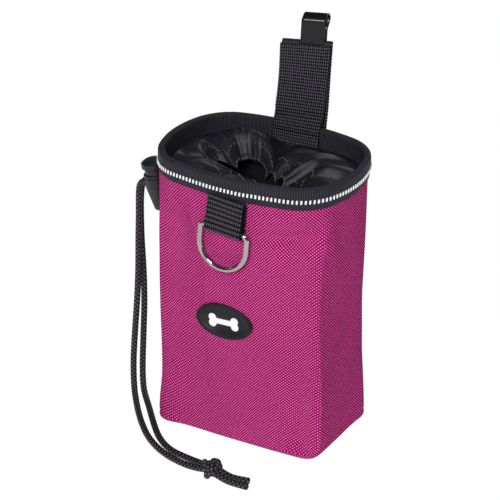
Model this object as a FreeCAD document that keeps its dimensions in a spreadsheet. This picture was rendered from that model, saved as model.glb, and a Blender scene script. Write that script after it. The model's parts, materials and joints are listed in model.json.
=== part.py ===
"""Drawstring treat pouch: a soft tub on a rectangular base with a stiff oval rim."""

import FreeCAD, Part
import Sketcher
import math
import os
from FreeCAD import Placement, Rotation, Vector

X_AXIS = Vector(1, 0, 0)
Y_AXIS = Vector(0, 1, 0)
Z_AXIS = Vector(0, 0, 1)

# Driving sizes in millimetres and degrees. The origin is the middle of the base's underside,
# the front faces -Y, and the cord lock sits on the left, at -X.
SIZES = [
    # tub
    ("base_width", 91.0), ("base_depth", 60.0), ("base_corner", 7.0),
    ("base_front_curve", 900.0), ("base_side_curve", 500.0),
    ("rim_width", 103.4), ("rim_depth", 75.2), ("rim_corner", 25.0),
    ("rim_front_curve", 138.4), ("rim_side_curve", 54.4), ("rim_height", 153.0),
    ("shell_cloth", 0.8), ("layer_gap", 0.8), ("lining_cloth", 0.5),
    ("base_cloth", 1.1), ("board_thickness", 1.5), ("board_play", 0.2), ("seam_play", 0.1),
    # rim
    ("binding_drop", 11.5), ("binding_tape", 0.5),
    ("hoop_thickness", 0.5), ("hoop_height", 6.0), ("hoop_drop", 3.0),
    ("thread_rise", 4.5), ("thread_height", 2.2), ("thread_thickness", 0.25), ("thread_gap", 0.02),
    # drawstring collar
    ("cord_diameter", 3.4), ("cord_gap", 0.04), ("cord_centre", -4.0), ("cord_drop", 29.2),
    ("collar_drop", 0.4), ("collar_play", 0.3), ("collar_cloth", 0.8),
    ("hem_half_width", 30.0), ("hem_half_depth", 17.0), ("hem_corner", 11.5),
    ("channel_play", 0.6), ("hem_cloth", 0.8), ("string_turn", 3.5),
    # eyelet and washer in the left wall
    ("eyelet_play", 0.66), ("eyelet_wall", 0.65), ("eyelet_rim", 2.6),
    ("eyelet_plate", 0.7), ("eyelet_stand_off", 0.3163), ("eyelet_lip", 0.8), ("washer_plate", 0.7),
    ("washer_stand_off", 1.4),
    # front loop and D-ring
    ("loop_width", 20.0), ("loop_tape", 1.3), ("loop_clear", 0.4), ("loop_fold", 6.5),
    ("loop_centre", 1.6), ("loop_turn", 5.5), ("loop_play", 0.15), ("wall_play", 0.35),
    ("ring_wire", 2.8), ("ring_width", 28.8), ("ring_drop", 23.5), ("ring_corner", 3.0),
    ("ring_below", 27.5),
    # oval label
    ("label_width", 32.0), ("label_height", 19.5), ("label_thickness", 1.6),
    ("label_border", 2.2), ("label_recess", 0.5), ("label_x", -3.1), ("label_z", 71.4),
    ("label_turn", 2.3), ("thread_inset", 1.1), ("thread_width", 0.5), ("thread_proud", 0.25),
    ("bone_length", 12.6), ("bone_shaft", 2.9), ("bone_lobe", 2.1), ("bone_spread", 1.6),
    ("bone_thickness", 0.4),
    # hanger strap and belt clip
    ("strap_width", 25.5), ("strap_tape", 1.3), ("strap_x", 0.0), ("tab_play", 0.25),
    ("tab_drop", 10.6), ("tab_stop", 0.5),
    ("fold_reach", 1.7), ("fold_rise", 1.2), ("hanger_start", 2.2), ("hanger_lean", 5.1),
    ("hanger_twist", 8.0), ("strap_rise", 38.6), ("strap_step", 1.6),
    ("clip_width", 12.0), ("clip_steel", 1.0), ("clip_offset", 2.8), ("clip_foot", 17.0),
    ("clip_rise", 55.0), ("clip_bend", 3.2), ("clip_wrap", 35.0), ("clip_gap", 0.25),
    ("clip_play", 0.05), ("leg_play", 0.3), ("leg_foot", 10.0), ("leg_lip", 6.0), ("leg_flare", 25.0),
    ("leg_knee", 2.0), ("leg_bend", 3.0),
    # cord lock
    ("lock_stand_off", 9.88), ("lock_drop", 0.86), ("lock_tilt", 8.0),
    ("lock_barrel", 11.8), ("lock_collar", 12.2), ("lock_tail", 5.6), ("lock_tail_length", 15.6),
    ("lock_taper_top", 4.8), ("lock_waist", 10.6), ("lock_top", 4.4), ("lock_groove", 2.3),
    ("lock_ease", 0.3), ("tail_ease", 0.6),
    ("stem_diameter", 8.5), ("stem_play", 0.1), ("skirt_diameter", 10.4), ("press_travel", 2.6),
    ("cap_diameter", 13.2), ("cap_height", 5.2), ("cap_dome", 1.6), ("cap_ease", 0.8), ("cord_play", 0.2),
    ("bridge", 1.0), ("spring_bore", 5.2), ("spring_diameter", 4.4), ("spring_wire", 0.5),
    ("spring_turns", 6.0), ("spring_seat", 12.4),
]

EYELET_BORE = "(2 * sizes.cord_diameter + sizes.cord_gap + sizes.eyelet_play)"
EYELET_TUBE = f"({EYELET_BORE} + 2 * sizes.eyelet_wall)"
EYELET_FLANGE = f"({EYELET_TUBE} / 2 + sizes.eyelet_rim)"
SIDE_LEAN = "((sizes.rim_width - sizes.base_width) / (2 * sizes.rim_height))"
EYELET_SEAT = f"(sizes.eyelet_stand_off + {EYELET_FLANGE} * {SIDE_LEAN})"
ARC_SHARE = 0.45  # share of the shorter run beside a cord's point that its arc takes up
NEARLY_STRAIGHT = 4000.0  # radius of the hem's sides, which look straight
SPARE = 1.0  # distance that a cutting solid runs past what it cuts
POINT_ON_AXIS = 1e-9

document = FreeCAD.newDocument("treat_pouch")
sheet = document.addObject("Spreadsheet::Sheet", "sizes")
for row, (alias, number) in enumerate(SIZES, start=1):
    sheet.set(f"A{row}", alias)
    sheet.set(f"B{row}", str(number))
    sheet.setAlias(f"B{row}", alias)
document.recompute()

nodes = {}


def size(alias):
    return float(sheet.get(alias))


def value(expression):
    result = sheet.evalExpression(expression)
    return float(getattr(result, "Value", result))


def turned(angle, axis=Z_AXIS):
    return Rotation(axis, angle)


def shift(x, y, z):
    return Placement(Vector(x, y, z), Rotation())


# ---------------------------------------------------------------- sketch and body helpers

def new_body(label):
    body = document.addObject("PartDesign::Body", label)
    body.Label = label
    nodes[label] = body
    return body


def origin_feature(body, role):
    return next(item for item in body.Origin.OriginFeatures if item.Role == role)


def new_sketch(body, role):
    sketch = body.newObject("Sketcher::SketchObject", body.Name + "_sketch")
    sketch.AttachmentSupport = [(origin_feature(body, role), "")]
    sketch.MapMode = "FlatFace"
    return sketch


def fix_point(sketch, edge, end, across, up):
    """Hold one end of an edge at the place that two sheet expressions give."""
    for kind, expression, axis in (("DistanceX", across, -2), ("DistanceY", up, -1)):
        distance = value(expression)
        if abs(distance) < POINT_ON_AXIS:
            sketch.addConstraint(Sketcher.Constraint("PointOnObject", edge, end, axis))
            continue
        number = sketch.addConstraint(Sketcher.Constraint(kind, -1, 1, edge, end, distance))
        sketch.setExpression(f"Constraints[{number}]", expression)


def polygon(sketch, corners):
    """Closed outline through corners that are given as pairs of sheet expressions."""
    places = [Vector(value(across), value(up), 0) for across, up in corners]
    first = sketch.GeometryCount
    count = len(corners)
    for index in range(count):
        sketch.addGeometry(Part.LineSegment(places[index], places[(index + 1) % count]))
    for index in range(count):
        following = first + (index + 1) % count
        sketch.addConstraint(Sketcher.Constraint("Coincident", first + index, 2, following, 1))
    for index, (across, up) in enumerate(corners):
        fix_point(sketch, first + index, 1, across, up)


def pad(body, sketch, length, both_ways=False):
    feature = body.newObject("PartDesign::Pad", body.Name + "_pad")
    feature.Profile = sketch
    feature.setExpression("Length", length)
    if both_ways:
        feature.SideType = "Symmetric"
    return feature


def pocket_through(body, sketch):
    feature = body.newObject("PartDesign::Pocket", body.Name + "_pocket")
    feature.Profile = sketch
    feature.Type = "ThroughAll"
    feature.SideType = "Symmetric"
    return feature


def revolve(body, sketch):
    feature = body.newObject("PartDesign::Revolution", body.Name + "_turned")
    feature.Profile = sketch
    feature.ReferenceAxis = (origin_feature(body, "Z_Axis"), [""])
    feature.Angle = 360
    return feature


def shape_node(label, shape, placement=Placement()):
    feature = document.addObject("Part::Feature", label)
    feature.Label = label
    feature.Shape = shape
    feature.Placement = placement
    nodes[label] = feature
    return feature


# ---------------------------------------------------------------- tub family

def arc_ring(half_width, half_depth, front_curve, side_curve, corner, height, centre_y=0.0):
    """Oval of eight tangent arcs: flat front and back, rounder sides, four corners."""
    front = Vector(0, half_depth - front_curve, 0)
    side = Vector(half_width - side_curve, 0, 0)
    between = side - front
    gap = between.Length
    along = ((front_curve - corner) ** 2 - (side_curve - corner) ** 2 + gap ** 2) / (2 * gap)
    off = math.sqrt((front_curve - corner) ** 2 - along ** 2)
    unit = between / gap
    centres = [front + unit * along + Vector(-unit.y, unit.x, 0) * off * sign for sign in (1, -1)]
    centre = max(centres, key=lambda point: point.x + point.y)
    side_end = side + (centre - side).normalize() * side_curve
    front_end = front + (centre - front).normalize() * front_curve
    corner_mid = centre + (side_end + front_end - centre * 2).normalize() * corner

    def place(point, flip_x, flip_y):
        return Vector(point.x * flip_x, point.y * flip_y + centre_y, height)

    right = Vector(half_width, 0, 0)
    top = Vector(0, half_depth, 0)
    edges = []
    for flip_x, flip_y in ((1, 1), (-1, 1), (-1, -1), (1, -1)):
        corner_arc = (place(side_end, flip_x, flip_y), place(corner_mid, flip_x, flip_y),
                      place(front_end, flip_x, flip_y))
        if flip_x * flip_y < 0:
            corner_arc = corner_arc[::-1]
        edges.append(Part.Arc(*corner_arc).toShape())
        if flip_x * flip_y > 0:
            bulge = (place(front_end, flip_x, flip_y), place(top, 1, flip_y),
                     place(front_end, -flip_x, flip_y))
        else:
            bulge = (place(side_end, flip_x, flip_y), place(right, flip_x, 1),
                     place(side_end, flip_x, -flip_y))
        edges.append(Part.Arc(*bulge).toShape())
    return Part.Wire(edges)


def base_ring(offset):
    return arc_ring(size("base_width") / 2 + offset, size("base_depth") / 2 + offset,
                    size("base_front_curve") + offset, size("base_side_curve") + offset,
                    size("base_corner") + offset, 0.0)


def rim_ring(offset, height=None):
    height = size("rim_height") if height is None else height
    return arc_ring(size("rim_width") / 2 + offset, size("rim_depth") / 2 + offset,
                    size("rim_front_curve") + offset, size("rim_side_curve") + offset,
                    size("rim_corner") + offset, height)


def slab(bottom, top):
    """Block wider than the pouch between two heights."""
    reach = size("rim_width") + size("rim_depth")
    return Part.makeBox(2 * reach, 2 * reach, top - bottom, Vector(-reach, -reach, bottom))


def tub(offset, bottom, top):
    """Solid of the tub's outer surface moved out by offset, between two heights."""
    whole = Part.makeLoft([base_ring(offset), rim_ring(offset)], True, True)
    return whole.common(slab(bottom, top))


def wall(outer, inner, bottom, top):
    return tub(outer, bottom, top).cut(tub(inner, bottom - SPARE, top + SPARE))


def wall_slope():
    """Angle of the front wall from vertical; the top leans outwards."""
    return math.degrees(math.atan2((size("rim_depth") - size("base_depth")) / 2, size("rim_height")))


def front_y(height):
    """Y of the tub's front surface on its middle line."""
    share = height / size("rim_height")
    return -(size("base_depth") + (size("rim_depth") - size("base_depth")) * share) / 2


def side_x(height):
    """X of the tub's right surface on its middle line."""
    share = height / size("rim_height")
    return (size("base_width") + (size("rim_width") - size("base_width")) * share) / 2


lining_outside = -(size("shell_cloth") + size("layer_gap"))
lining_inside = lining_outside - size("lining_cloth")
binding_inside = lining_inside - size("seam_play") - size("binding_tape")
binding_outside = size("seam_play") + size("binding_tape")
binding_bottom = size("rim_height") - size("binding_drop")
wall_top = size("rim_height") - size("binding_tape") - 2 * size("seam_play")
cord_height = size("rim_height") - size("cord_drop")
cord_spacing = size("cord_diameter") + size("cord_gap")
hem_channel = size("cord_diameter") + size("channel_play")
ring_height = size("rim_height") - size("ring_below")
board_bottom = size("base_cloth") + size("board_play")
lining_floor = board_bottom + size("board_thickness") + size("board_play")


def eyelet_hole():
    """Cutter for the hole that the eyelet's tube passes through."""
    radius = value(EYELET_TUBE) / 2 + size("seam_play")
    start = Vector(-size("rim_width"), size("cord_centre"), cord_height)
    return Part.makeCylinder(radius, size("rim_width"), start, X_AXIS)


def make_tub():
    bottom = size("base_cloth") + size("seam_play")
    shell = wall(0.0, -size("shell_cloth"), bottom, wall_top)
    shape_node("outer_shell", shell.cut(eyelet_hole()))
    shape_node("base_panel", tub(0.0, 0.0, size("base_cloth")))
    board_edge = -(size("shell_cloth") + size("board_play"))
    shape_node("base_board", tub(board_edge, board_bottom, board_bottom + size("board_thickness")))
    bag = tub(lining_outside, lining_floor, wall_top)
    hollow = tub(lining_inside, lining_floor + size("lining_cloth"), size("rim_height"))
    shape_node("lining", bag.cut(hollow).cut(eyelet_hole()))


def make_rim():
    hoop_edge = -(size("shell_cloth") + (size("layer_gap") - size("hoop_thickness")) / 2)
    hoop_top = size("rim_height") - size("hoop_drop")
    shape_node("rim_hoop", wall(hoop_edge, hoop_edge - size("hoop_thickness"),
                                hoop_top - size("hoop_height"), hoop_top))
    tape = wall(binding_outside, binding_inside, binding_bottom, size("rim_height"))
    inner_face = lining_inside - size("seam_play")
    space_top = size("rim_height") - size("binding_tape")
    below = binding_bottom - SPARE
    space = tub(size("seam_play"), below, space_top).cut(tub(inner_face, below - SPARE, size("rim_height")))
    shape_node("rim_binding", tape.cut(space))
    thread_inside = binding_outside + size("thread_gap")
    thread_bottom = binding_bottom + size("thread_rise") - size("thread_height") / 2
    shape_node("reflective_thread", wall(thread_inside + size("thread_thickness"), thread_inside,
                                         thread_bottom, thread_bottom + size("thread_height")))


# ---------------------------------------------------------------- cords

def tangent_path(points, radii=None, label=None):
    """Straight runs through the points, joined by tangent arcs."""
    edges = []
    used = []
    start = points[0]
    for index in range(1, len(points) - 1):
        before = points[index - 1] - points[index]
        after = points[index + 1] - points[index]
        turn = math.pi - before.getAngle(after)
        shorter = min(before.Length, after.Length)
        radius = radii[index - 1] if radii else ARC_SHARE * shorter / math.tan(turn / 2)
        used.append(radius)
        reach = radius * math.tan(turn / 2)
        enter = points[index] + before.normalize() * reach
        leave = points[index] + after.normalize() * reach
        inward = (before + after).normalize()
        middle = points[index] + inward * (radius / math.cos(turn / 2) - radius)
        edges.append(Part.LineSegment(start, enter).toShape())
        edges.append(Part.Arc(enter, middle, leave).toShape())
        start = leave
    edges.append(Part.LineSegment(start, points[-1]).toShape())
    if label:
        print(label, "bend radii", [round(radius, 1) for radius in used])
    return Part.Wire(edges)


def tube(path, diameter, label=None):
    """Round tube along a wire, with its volume compared with section times length."""
    first = path.OrderedEdges[0]
    start = first.valueAt(first.FirstParameter)
    heading = first.tangentAt(first.FirstParameter)
    section = Part.Wire([Part.makeCircle(diameter / 2, start, heading)])
    solid = path.makePipeShell([section], True, False)
    expected = math.pi * diameter ** 2 / 4 * path.Length
    if label:
        print(label, "length", round(path.Length, 1), "volume share", round(solid.Volume / expected, 4))
    return solid


def cord_y(side):
    """Y of the front (-1) or rear (+1) strand where the pair runs side by side."""
    return size("cord_centre") + side * cord_spacing / 2


def hem_ring(offset, height):
    return arc_ring(size("hem_half_width") + offset, size("hem_half_depth") + offset, NEARLY_STRAIGHT,
                    NEARLY_STRAIGHT, size("hem_corner") + offset, height, size("cord_centre"))


def make_collar():
    """Nylon funnel hanging from the rim, with a hem that the drawstring runs in."""
    top = binding_bottom - size("collar_drop")
    rim = size("rim_height")
    taper = max(front_y(top) - front_y(rim), side_x(rim) - side_x(top))
    upper = lining_inside - size("collar_play") - taper
    cloth = size("collar_cloth")
    outside = Part.makeLoft([hem_ring(cloth / 2, cord_height), rim_ring(upper, top)], True, True)
    inside = Part.makeLoft([hem_ring(-cloth / 2, cord_height), rim_ring(upper - cloth, top)], True, True)
    hem_path = hem_ring(0.0, cord_height)
    hem = tube(hem_path, hem_channel + 2 * size("hem_cloth"))
    channel = tube(hem_path, hem_channel)
    mouth_width = cord_spacing + 2 * size("string_turn")
    mouth_height = size("cord_diameter") + size("collar_play")
    mouth_reach = size("hem_cloth") + hem_channel / 2 + size("string_turn")
    corner = Vector(-size("hem_half_width") - mouth_reach, size("cord_centre") - mouth_width / 2,
                    cord_height - mouth_height / 2)
    mouth = Part.makeBox(mouth_reach + size("hem_cloth"), mouth_width, mouth_height, corner)
    funnel = outside.cut(inside).fuse(hem).cut(channel).cut(mouth)
    shape_node("drawstring_collar", funnel)


def make_drawstring():
    """Hidden run of the drawstring: in through the eyelet, round the hem and out again."""
    left = -size("hem_half_width")
    deep = size("hem_half_depth")
    centre = size("cord_centre")
    start = -side_x(cord_height) + size("eyelet_plate")
    corners = [(start, cord_y(1)), (left, cord_y(1)), (left, centre + deep), (-left, centre + deep),
               (-left, centre - deep), (left, centre - deep), (left, cord_y(-1)), (start, cord_y(-1))]
    points = [Vector(x, y, cord_height) for x, y in corners]
    turn = size("string_turn")
    corner = size("hem_corner")
    path = tangent_path(points, [turn, corner, corner, corner, corner, turn])
    shape_node("drawstring_loop", tube(path, size("cord_diameter"), "drawstring_loop"))
    return start


# Routes of the two free strands, from the eyelet through the lock and down to the knot.
FRONT_STRAND = [
    (-54.3, -5.72, 123.8), (-62.5, -5.72, 122.65), (-67.0, -5.72, 121.95), (-69.0, -5.75, 120.1),
    (-69.7, -5.9, 117.2), (-69.9, -6.1, 112.2), (-69.8, -6.5, 103.5), (-70.1, -7.1, 88.5),
    (-70.1, -7.8, 71.5), (-70.8, -8.8, 52.5), (-72.0, -10.0, 33.0), (-72.6, -10.9, 18.5),
    (-71.9, -12.2, 8.2), (-69.8, -15.0, 2.7), (-65.6, -20.5, 1.75), (-58.0, -30.5, 1.75),
    (-48.5, -41.6, 1.75), (-37.5, -52.2, 1.75), (-24.5, -60.0, 1.75), (-11.5, -63.6, 1.75),
    (-1.0, -65.0, 2.6), (4.0, -65.7, 4.2),
]
REAR_STRAND = [
    (-54.3, -2.28, 123.8), (-62.5, -2.28, 122.65), (-67.0, -2.28, 121.95), (-69.3, -2.3, 120.1),
    (-70.3, -2.35, 117.1), (-70.9, -2.5, 112.0), (-71.0, -2.8, 103.0), (-70.6, -3.4, 88.0),
    (-69.4, -3.9, 71.5), (-68.8, -4.6, 52.5), (-69.5, -5.2, 33.5), (-69.9, -5.9, 19.0),
    (-69.3, -7.4, 8.6), (-67.0, -10.4, 2.7), (-63.0, -15.2, 1.75), (-54.0, -25.5, 1.75),
    (-43.6, -38.1, 1.75), (-33.5, -49.0, 1.75), (-23.0, -55.8, 1.75), (-11.5, -57.9, 1.75),
    (-3.0, -59.6, 2.4), (3.0, -62.0, 4.0),
]
FRONT_TAIL = [(10.6, -66.2, 3.2), (15.2, -66.5, 1.85), (21.0, -66.9, 1.75), (28.2, -66.4, 1.75)]
REAR_TAIL = [(10.2, -62.0, 3.2), (14.6, -62.4, 1.85), (20.0, -62.6, 1.75), (26.3, -61.2, 1.75)]
KNOT_CENTRE = Vector(6.7, -64.8, 5.0)
KNOT_HALF_SIZES = (6.0, 5.6, 4.85)


def make_free_cords(start):
    diameter = size("cord_diameter")
    strands = (("cord_strand_front", -1, FRONT_STRAND), ("cord_strand_rear", 1, REAR_STRAND))
    for label, side, route in strands:
        points = [Vector(start, cord_y(side), cord_height)] + [Vector(*point) for point in route]
        shape_node(label, tube(tangent_path(points, label=label), diameter, label))
    for label, route in (("cord_tail_front", FRONT_TAIL), ("cord_tail_rear", REAR_TAIL)):
        points = [Vector(*point) for point in route]
        shape_node(label, tube(tangent_path(points, label=label), diameter, label))
    ball = Part.makeSphere(1.0)
    stretch = FreeCAD.Matrix()
    stretch.scale(*KNOT_HALF_SIZES)
    shape_node("cord_knot", ball.transformGeometry(stretch), Placement(KNOT_CENTRE, Rotation()))


# ---------------------------------------------------------------- eyelet

def make_eyelet():
    """Metal eyelet that clamps shell and lining, its axis along X and its flange outside."""
    outward = turned(-90, Y_AXIS)
    seat = -side_x(cord_height) - value(EYELET_SEAT)
    place = Placement(Vector(seat, size("cord_centre"), cord_height), outward)
    washer_top = (f"-({EYELET_SEAT} + sizes.shell_cloth + sizes.layer_gap + sizes.lining_cloth"
                  " + sizes.washer_stand_off)")
    washer_bottom = f"{washer_top} - sizes.washer_plate"
    lip_top = f"{washer_bottom} - sizes.seam_play"
    bore = f"{EYELET_BORE} / 2"
    barrel = f"{EYELET_TUBE} / 2"
    flange = EYELET_FLANGE
    lip = f"({barrel} + sizes.eyelet_lip)"
    body = new_body("cord_eyelet")
    sketch = new_sketch(body, "XZ_Plane")
    polygon(sketch, [(bore, "sizes.eyelet_plate"), (bore, f"{lip_top} - sizes.eyelet_plate"),
                     (lip, f"{lip_top} - sizes.eyelet_plate"), (lip, lip_top), (barrel, lip_top),
                     (barrel, "0"), (flange, "0"), (flange, "sizes.eyelet_plate / 2"),
                     (f"{flange} - sizes.eyelet_plate", "sizes.eyelet_plate")])
    revolve(body, sketch)
    body.Placement = place
    washer = new_body("eyelet_washer")
    sketch = new_sketch(washer, "XZ_Plane")
    inner = f"{barrel} + sizes.seam_play"
    polygon(sketch, [(inner, washer_top), (flange, washer_top),
                     (flange, washer_bottom), (inner, washer_bottom)])
    revolve(washer, sketch)
    washer.Placement = place


# ---------------------------------------------------------------- front loop and D-ring

def ring_place():
    """Frame at the middle of the D-ring's bar, which hangs slightly askew like its loop."""
    reach = size("ring_wire") / 2 + size("loop_play") + size("loop_tape")
    y = front_y(ring_height) - size("wall_play") - reach
    hang = binding_bottom - ring_height
    sewn = Placement(Vector(size("loop_centre"), y, binding_bottom), turned(size("loop_turn"), Y_AXIS))
    return sewn * shift(0, 0, -hang)


def make_ring_loop():
    """Webbing folded round the bar and sewn flat above it, ending just below the binding."""
    eye = size("ring_wire") / 2 + size("loop_play")
    back = eye + size("loop_tape")
    front = back - 2 * size("loop_tape")
    top = binding_bottom - ring_height + size("loop_width") * math.sin(math.radians(size("loop_turn")))
    fold = size("loop_fold")
    angle = math.atan2(front + back, fold) + math.asin(back / math.hypot(front + back, fold)) - math.pi / 2
    touch = Vector(0, -back * math.cos(angle), back * math.sin(-angle))
    outline = Part.Wire([
        Part.LineSegment(Vector(0, back, 0), Vector(0, back, top)).toShape(),
        Part.LineSegment(Vector(0, back, top), Vector(0, front, top)).toShape(),
        Part.LineSegment(Vector(0, front, top), Vector(0, front, fold)).toShape(),
        Part.LineSegment(Vector(0, front, fold), touch).toShape(),
        Part.Arc(touch, Vector(0, 0, -back), Vector(0, back, 0)).toShape(),
    ])
    width = size("loop_width")
    block = Part.Face(outline).extrude(Vector(width, 0, 0))
    bar_hole = Part.makeCylinder(eye, 3 * width, Vector(-width, 0, 0), X_AXIS)
    place = ring_place() * Placement(Vector(), turned(wall_slope(), X_AXIS)) * shift(-width / 2, 0, 0)
    above = Part.makeBox(3 * width, 3 * width, width)
    above.Placement = shift(-width, -size("rim_depth"), binding_bottom - size("loop_clear"))
    above.Placement = place.inverse() * above.Placement
    shape_node("ring_loop", block.cut(bar_hole).cut(above), place)


def make_d_ring():
    """Closed wire: straight bar on top, rounded shoulders and a half-round bottom."""
    half = (size("ring_width") - size("ring_wire")) / 2
    drop = size("ring_drop") - size("ring_wire") / 2
    shoulder = size("ring_corner")
    ease = shoulder * (1 - math.sqrt(0.5))
    side_end = drop - half
    low = half * math.sqrt(0.5)

    def at(x, z):
        return Vector(x, 0, z)

    path = Part.Wire([
        Part.LineSegment(at(0, 0), at(half - shoulder, 0)).toShape(),
        Part.Arc(at(half - shoulder, 0), at(half - ease, -ease), at(half, -shoulder)).toShape(),
        Part.LineSegment(at(half, -shoulder), at(half, -side_end)).toShape(),
        Part.Arc(at(half, -side_end), at(low, -side_end - low), at(0, -drop)).toShape(),
        Part.Arc(at(0, -drop), at(-low, -side_end - low), at(-half, -side_end)).toShape(),
        Part.LineSegment(at(-half, -side_end), at(-half, -shoulder)).toShape(),
        Part.Arc(at(-half, -shoulder), at(ease - half, -ease), at(shoulder - half, 0)).toShape(),
        Part.LineSegment(at(shoulder - half, 0), at(0, 0)).toShape(),
    ])
    shape_node("d_ring", tube(path, size("ring_wire"), "d_ring"), ring_place())


# ---------------------------------------------------------------- oval label

def ellipse(sketch, half_width, half_height):
    """Ellipse on the sketch's origin; its four axis ends are held by sheet expressions."""
    wide = value(half_width)
    tall = value(half_height)
    edge = sketch.addGeometry(Part.Ellipse(Vector(wide, 0, 0), Vector(0, tall, 0), Vector(0, 0, 0)))
    sketch.exposeInternalGeometry(edge)
    sketch.addConstraint(Sketcher.Constraint("Coincident", edge, 3, -1, 1))
    fix_point(sketch, edge + 1, 1, half_width, "0")
    number = sketch.addConstraint(Sketcher.Constraint("DistanceY", -1, 1, edge + 2, 1, tall))
    sketch.setExpression(f"Constraints[{number}]", half_height)


def label_place():
    """The label's back lies along the leaning front wall, just clear of it."""
    y = front_y(size("label_z")) - size("wall_play")
    lean = Rotation(X_AXIS, 90 + wall_slope())
    return Placement(Vector(size("label_x"), y, size("label_z")), lean * turned(size("label_turn")))


def make_label():
    place = label_place()
    half_width = "sizes.label_width / 2"
    half_height = "sizes.label_height / 2"
    body = new_body("label_patch")
    sketch = new_sketch(body, "XY_Plane")
    ellipse(sketch, half_width, half_height)
    pad(body, sketch, "sizes.label_thickness")
    sketch = new_sketch(body, "XY_Plane")
    sketch.setExpression("AttachmentOffset.Base.z", "sizes.label_thickness")
    ellipse(sketch, f"{half_width} - sizes.label_border", f"{half_height} - sizes.label_border")
    recess = body.newObject("PartDesign::Pocket", "label_patch_recess")
    recess.Profile = sketch
    recess.setExpression("Length", "sizes.label_recess")
    body.Placement = place

    thread = new_body("label_thread")
    sketch = new_sketch(thread, "XY_Plane")
    sketch.setExpression("AttachmentOffset.Base.z", "sizes.label_thickness")
    ellipse(sketch, f"{half_width} - sizes.thread_inset", f"{half_height} - sizes.thread_inset")
    inner = "sizes.thread_inset - sizes.thread_width"
    ellipse(sketch, f"{half_width} - {inner}", f"{half_height} - {inner}")
    pad(thread, sketch, "sizes.thread_proud")
    thread.Placement = place


def make_bone():
    """Raised bone on the label: a shaft with two round lobes at each end."""
    shaft = document.addObject("Part::Box", "bone_shaft_bar")
    shaft.setExpression("Length", "sizes.bone_length")
    shaft.setExpression("Width", "sizes.bone_shaft")
    shaft.setExpression("Height", "sizes.bone_thickness")
    shaft.setExpression("Placement.Base.x", "-sizes.bone_length / 2")
    shaft.setExpression("Placement.Base.y", "-sizes.bone_shaft / 2")
    pieces = [shaft]
    for across in ("-", ""):
        for up in ("-", ""):
            lobe = document.addObject("Part::Cylinder", "bone_lobe_disc")
            lobe.setExpression("Radius", "sizes.bone_lobe")
            lobe.setExpression("Height", "sizes.bone_thickness")
            lobe.setExpression("Placement.Base.x", f"{across}sizes.bone_length / 2")
            lobe.setExpression("Placement.Base.y", f"{up}sizes.bone_spread")
            pieces.append(lobe)
    bone = document.addObject("Part::MultiFuse", "label_bone")
    bone.Label = "label_bone"
    bone.Shapes = pieces
    lift = size("label_thickness") - size("label_recess")
    bone.Placement = label_place() * shift(0, 0, lift)
    nodes["label_bone"] = bone


# ---------------------------------------------------------------- hanger strap and belt clip

def rear_inside_y():
    """Y of the binding's inner face at the middle of the rear rim, at the tabs' lower end."""
    return -front_y(binding_bottom) + binding_inside


def make_tabs():
    """Sewn ends of the strap, one inside and one outside the rear rim."""
    bottom = size("rim_height") - size("tab_drop")
    lean = turned(-wall_slope(), X_AXIS)
    curve = size("rim_front_curve")
    bulge = curve - math.sqrt(curve ** 2 - (size("strap_width") / 2) ** 2)
    inner_back = rear_inside_y() - size("tab_play") - bulge
    thread_outside = binding_outside + size("thread_gap") + size("thread_thickness")
    outer_front = -front_y(binding_bottom) + thread_outside + size("tab_play")
    inner_front = inner_back - size("strap_tape")
    for label, y in (("hanger_tab_inner", inner_front), ("hanger_tab_outer", outer_front)):
        body = new_body(label)
        sketch = new_sketch(body, "YZ_Plane")
        polygon(sketch, [("0", "0"), ("sizes.strap_tape", "0"),
                         ("sizes.strap_tape", "sizes.tab_drop - sizes.tab_stop"),
                         ("0", "sizes.tab_drop - sizes.tab_stop")])
        pad(body, sketch, "sizes.strap_width", both_ways=True)
        body.Placement = Placement(Vector(size("strap_x"), y, bottom), lean)


def hanger_place():
    """Frame of the hanger on its fold line: X across, Y to the back, Z up the strap."""
    depth = size("rim_depth") / 2 + size("fold_reach")
    base = Vector(size("strap_x"), depth, size("rim_height") + size("fold_rise"))
    return Placement(base, turned(size("hanger_twist")) * turned(-size("hanger_lean"), X_AXIS))


def make_straps():
    """Two layers of webbing with the belt clip's front leg between them."""
    gap = size("clip_steel") + 2 * size("clip_play")
    middle = size("clip_steel") / 2
    layers = (("hanger_strap_front", middle - gap / 2 - size("strap_tape"), "sizes.strap_rise"),
              ("hanger_strap_rear", middle + gap / 2, "sizes.strap_rise + sizes.strap_step"))
    for label, depth, rise in layers:
        body = new_body(label)
        sketch = new_sketch(body, "YZ_Plane")
        polygon(sketch, [("0", "sizes.hanger_start"), ("sizes.strap_tape", "sizes.hanger_start"),
                         ("sizes.strap_tape", rise), ("0", rise)])
        pad(body, sketch, "sizes.strap_width", both_ways=True)
        body.Placement = hanger_place() * shift(0, depth, 0)


def strip(centre_line, thickness, width):
    """Flat strip: an open line in the YZ plane, thickened both ways and extruded from X = 0."""
    one_side = centre_line.makeOffset2D(thickness / 2, fill=True, openResult=True)
    other_side = centre_line.makeOffset2D(-thickness / 2, fill=True, openResult=True)
    across = Vector(width, 0, 0)
    return one_side.extrude(across).fuse(other_side.extrude(across)).removeSplitter()


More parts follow.
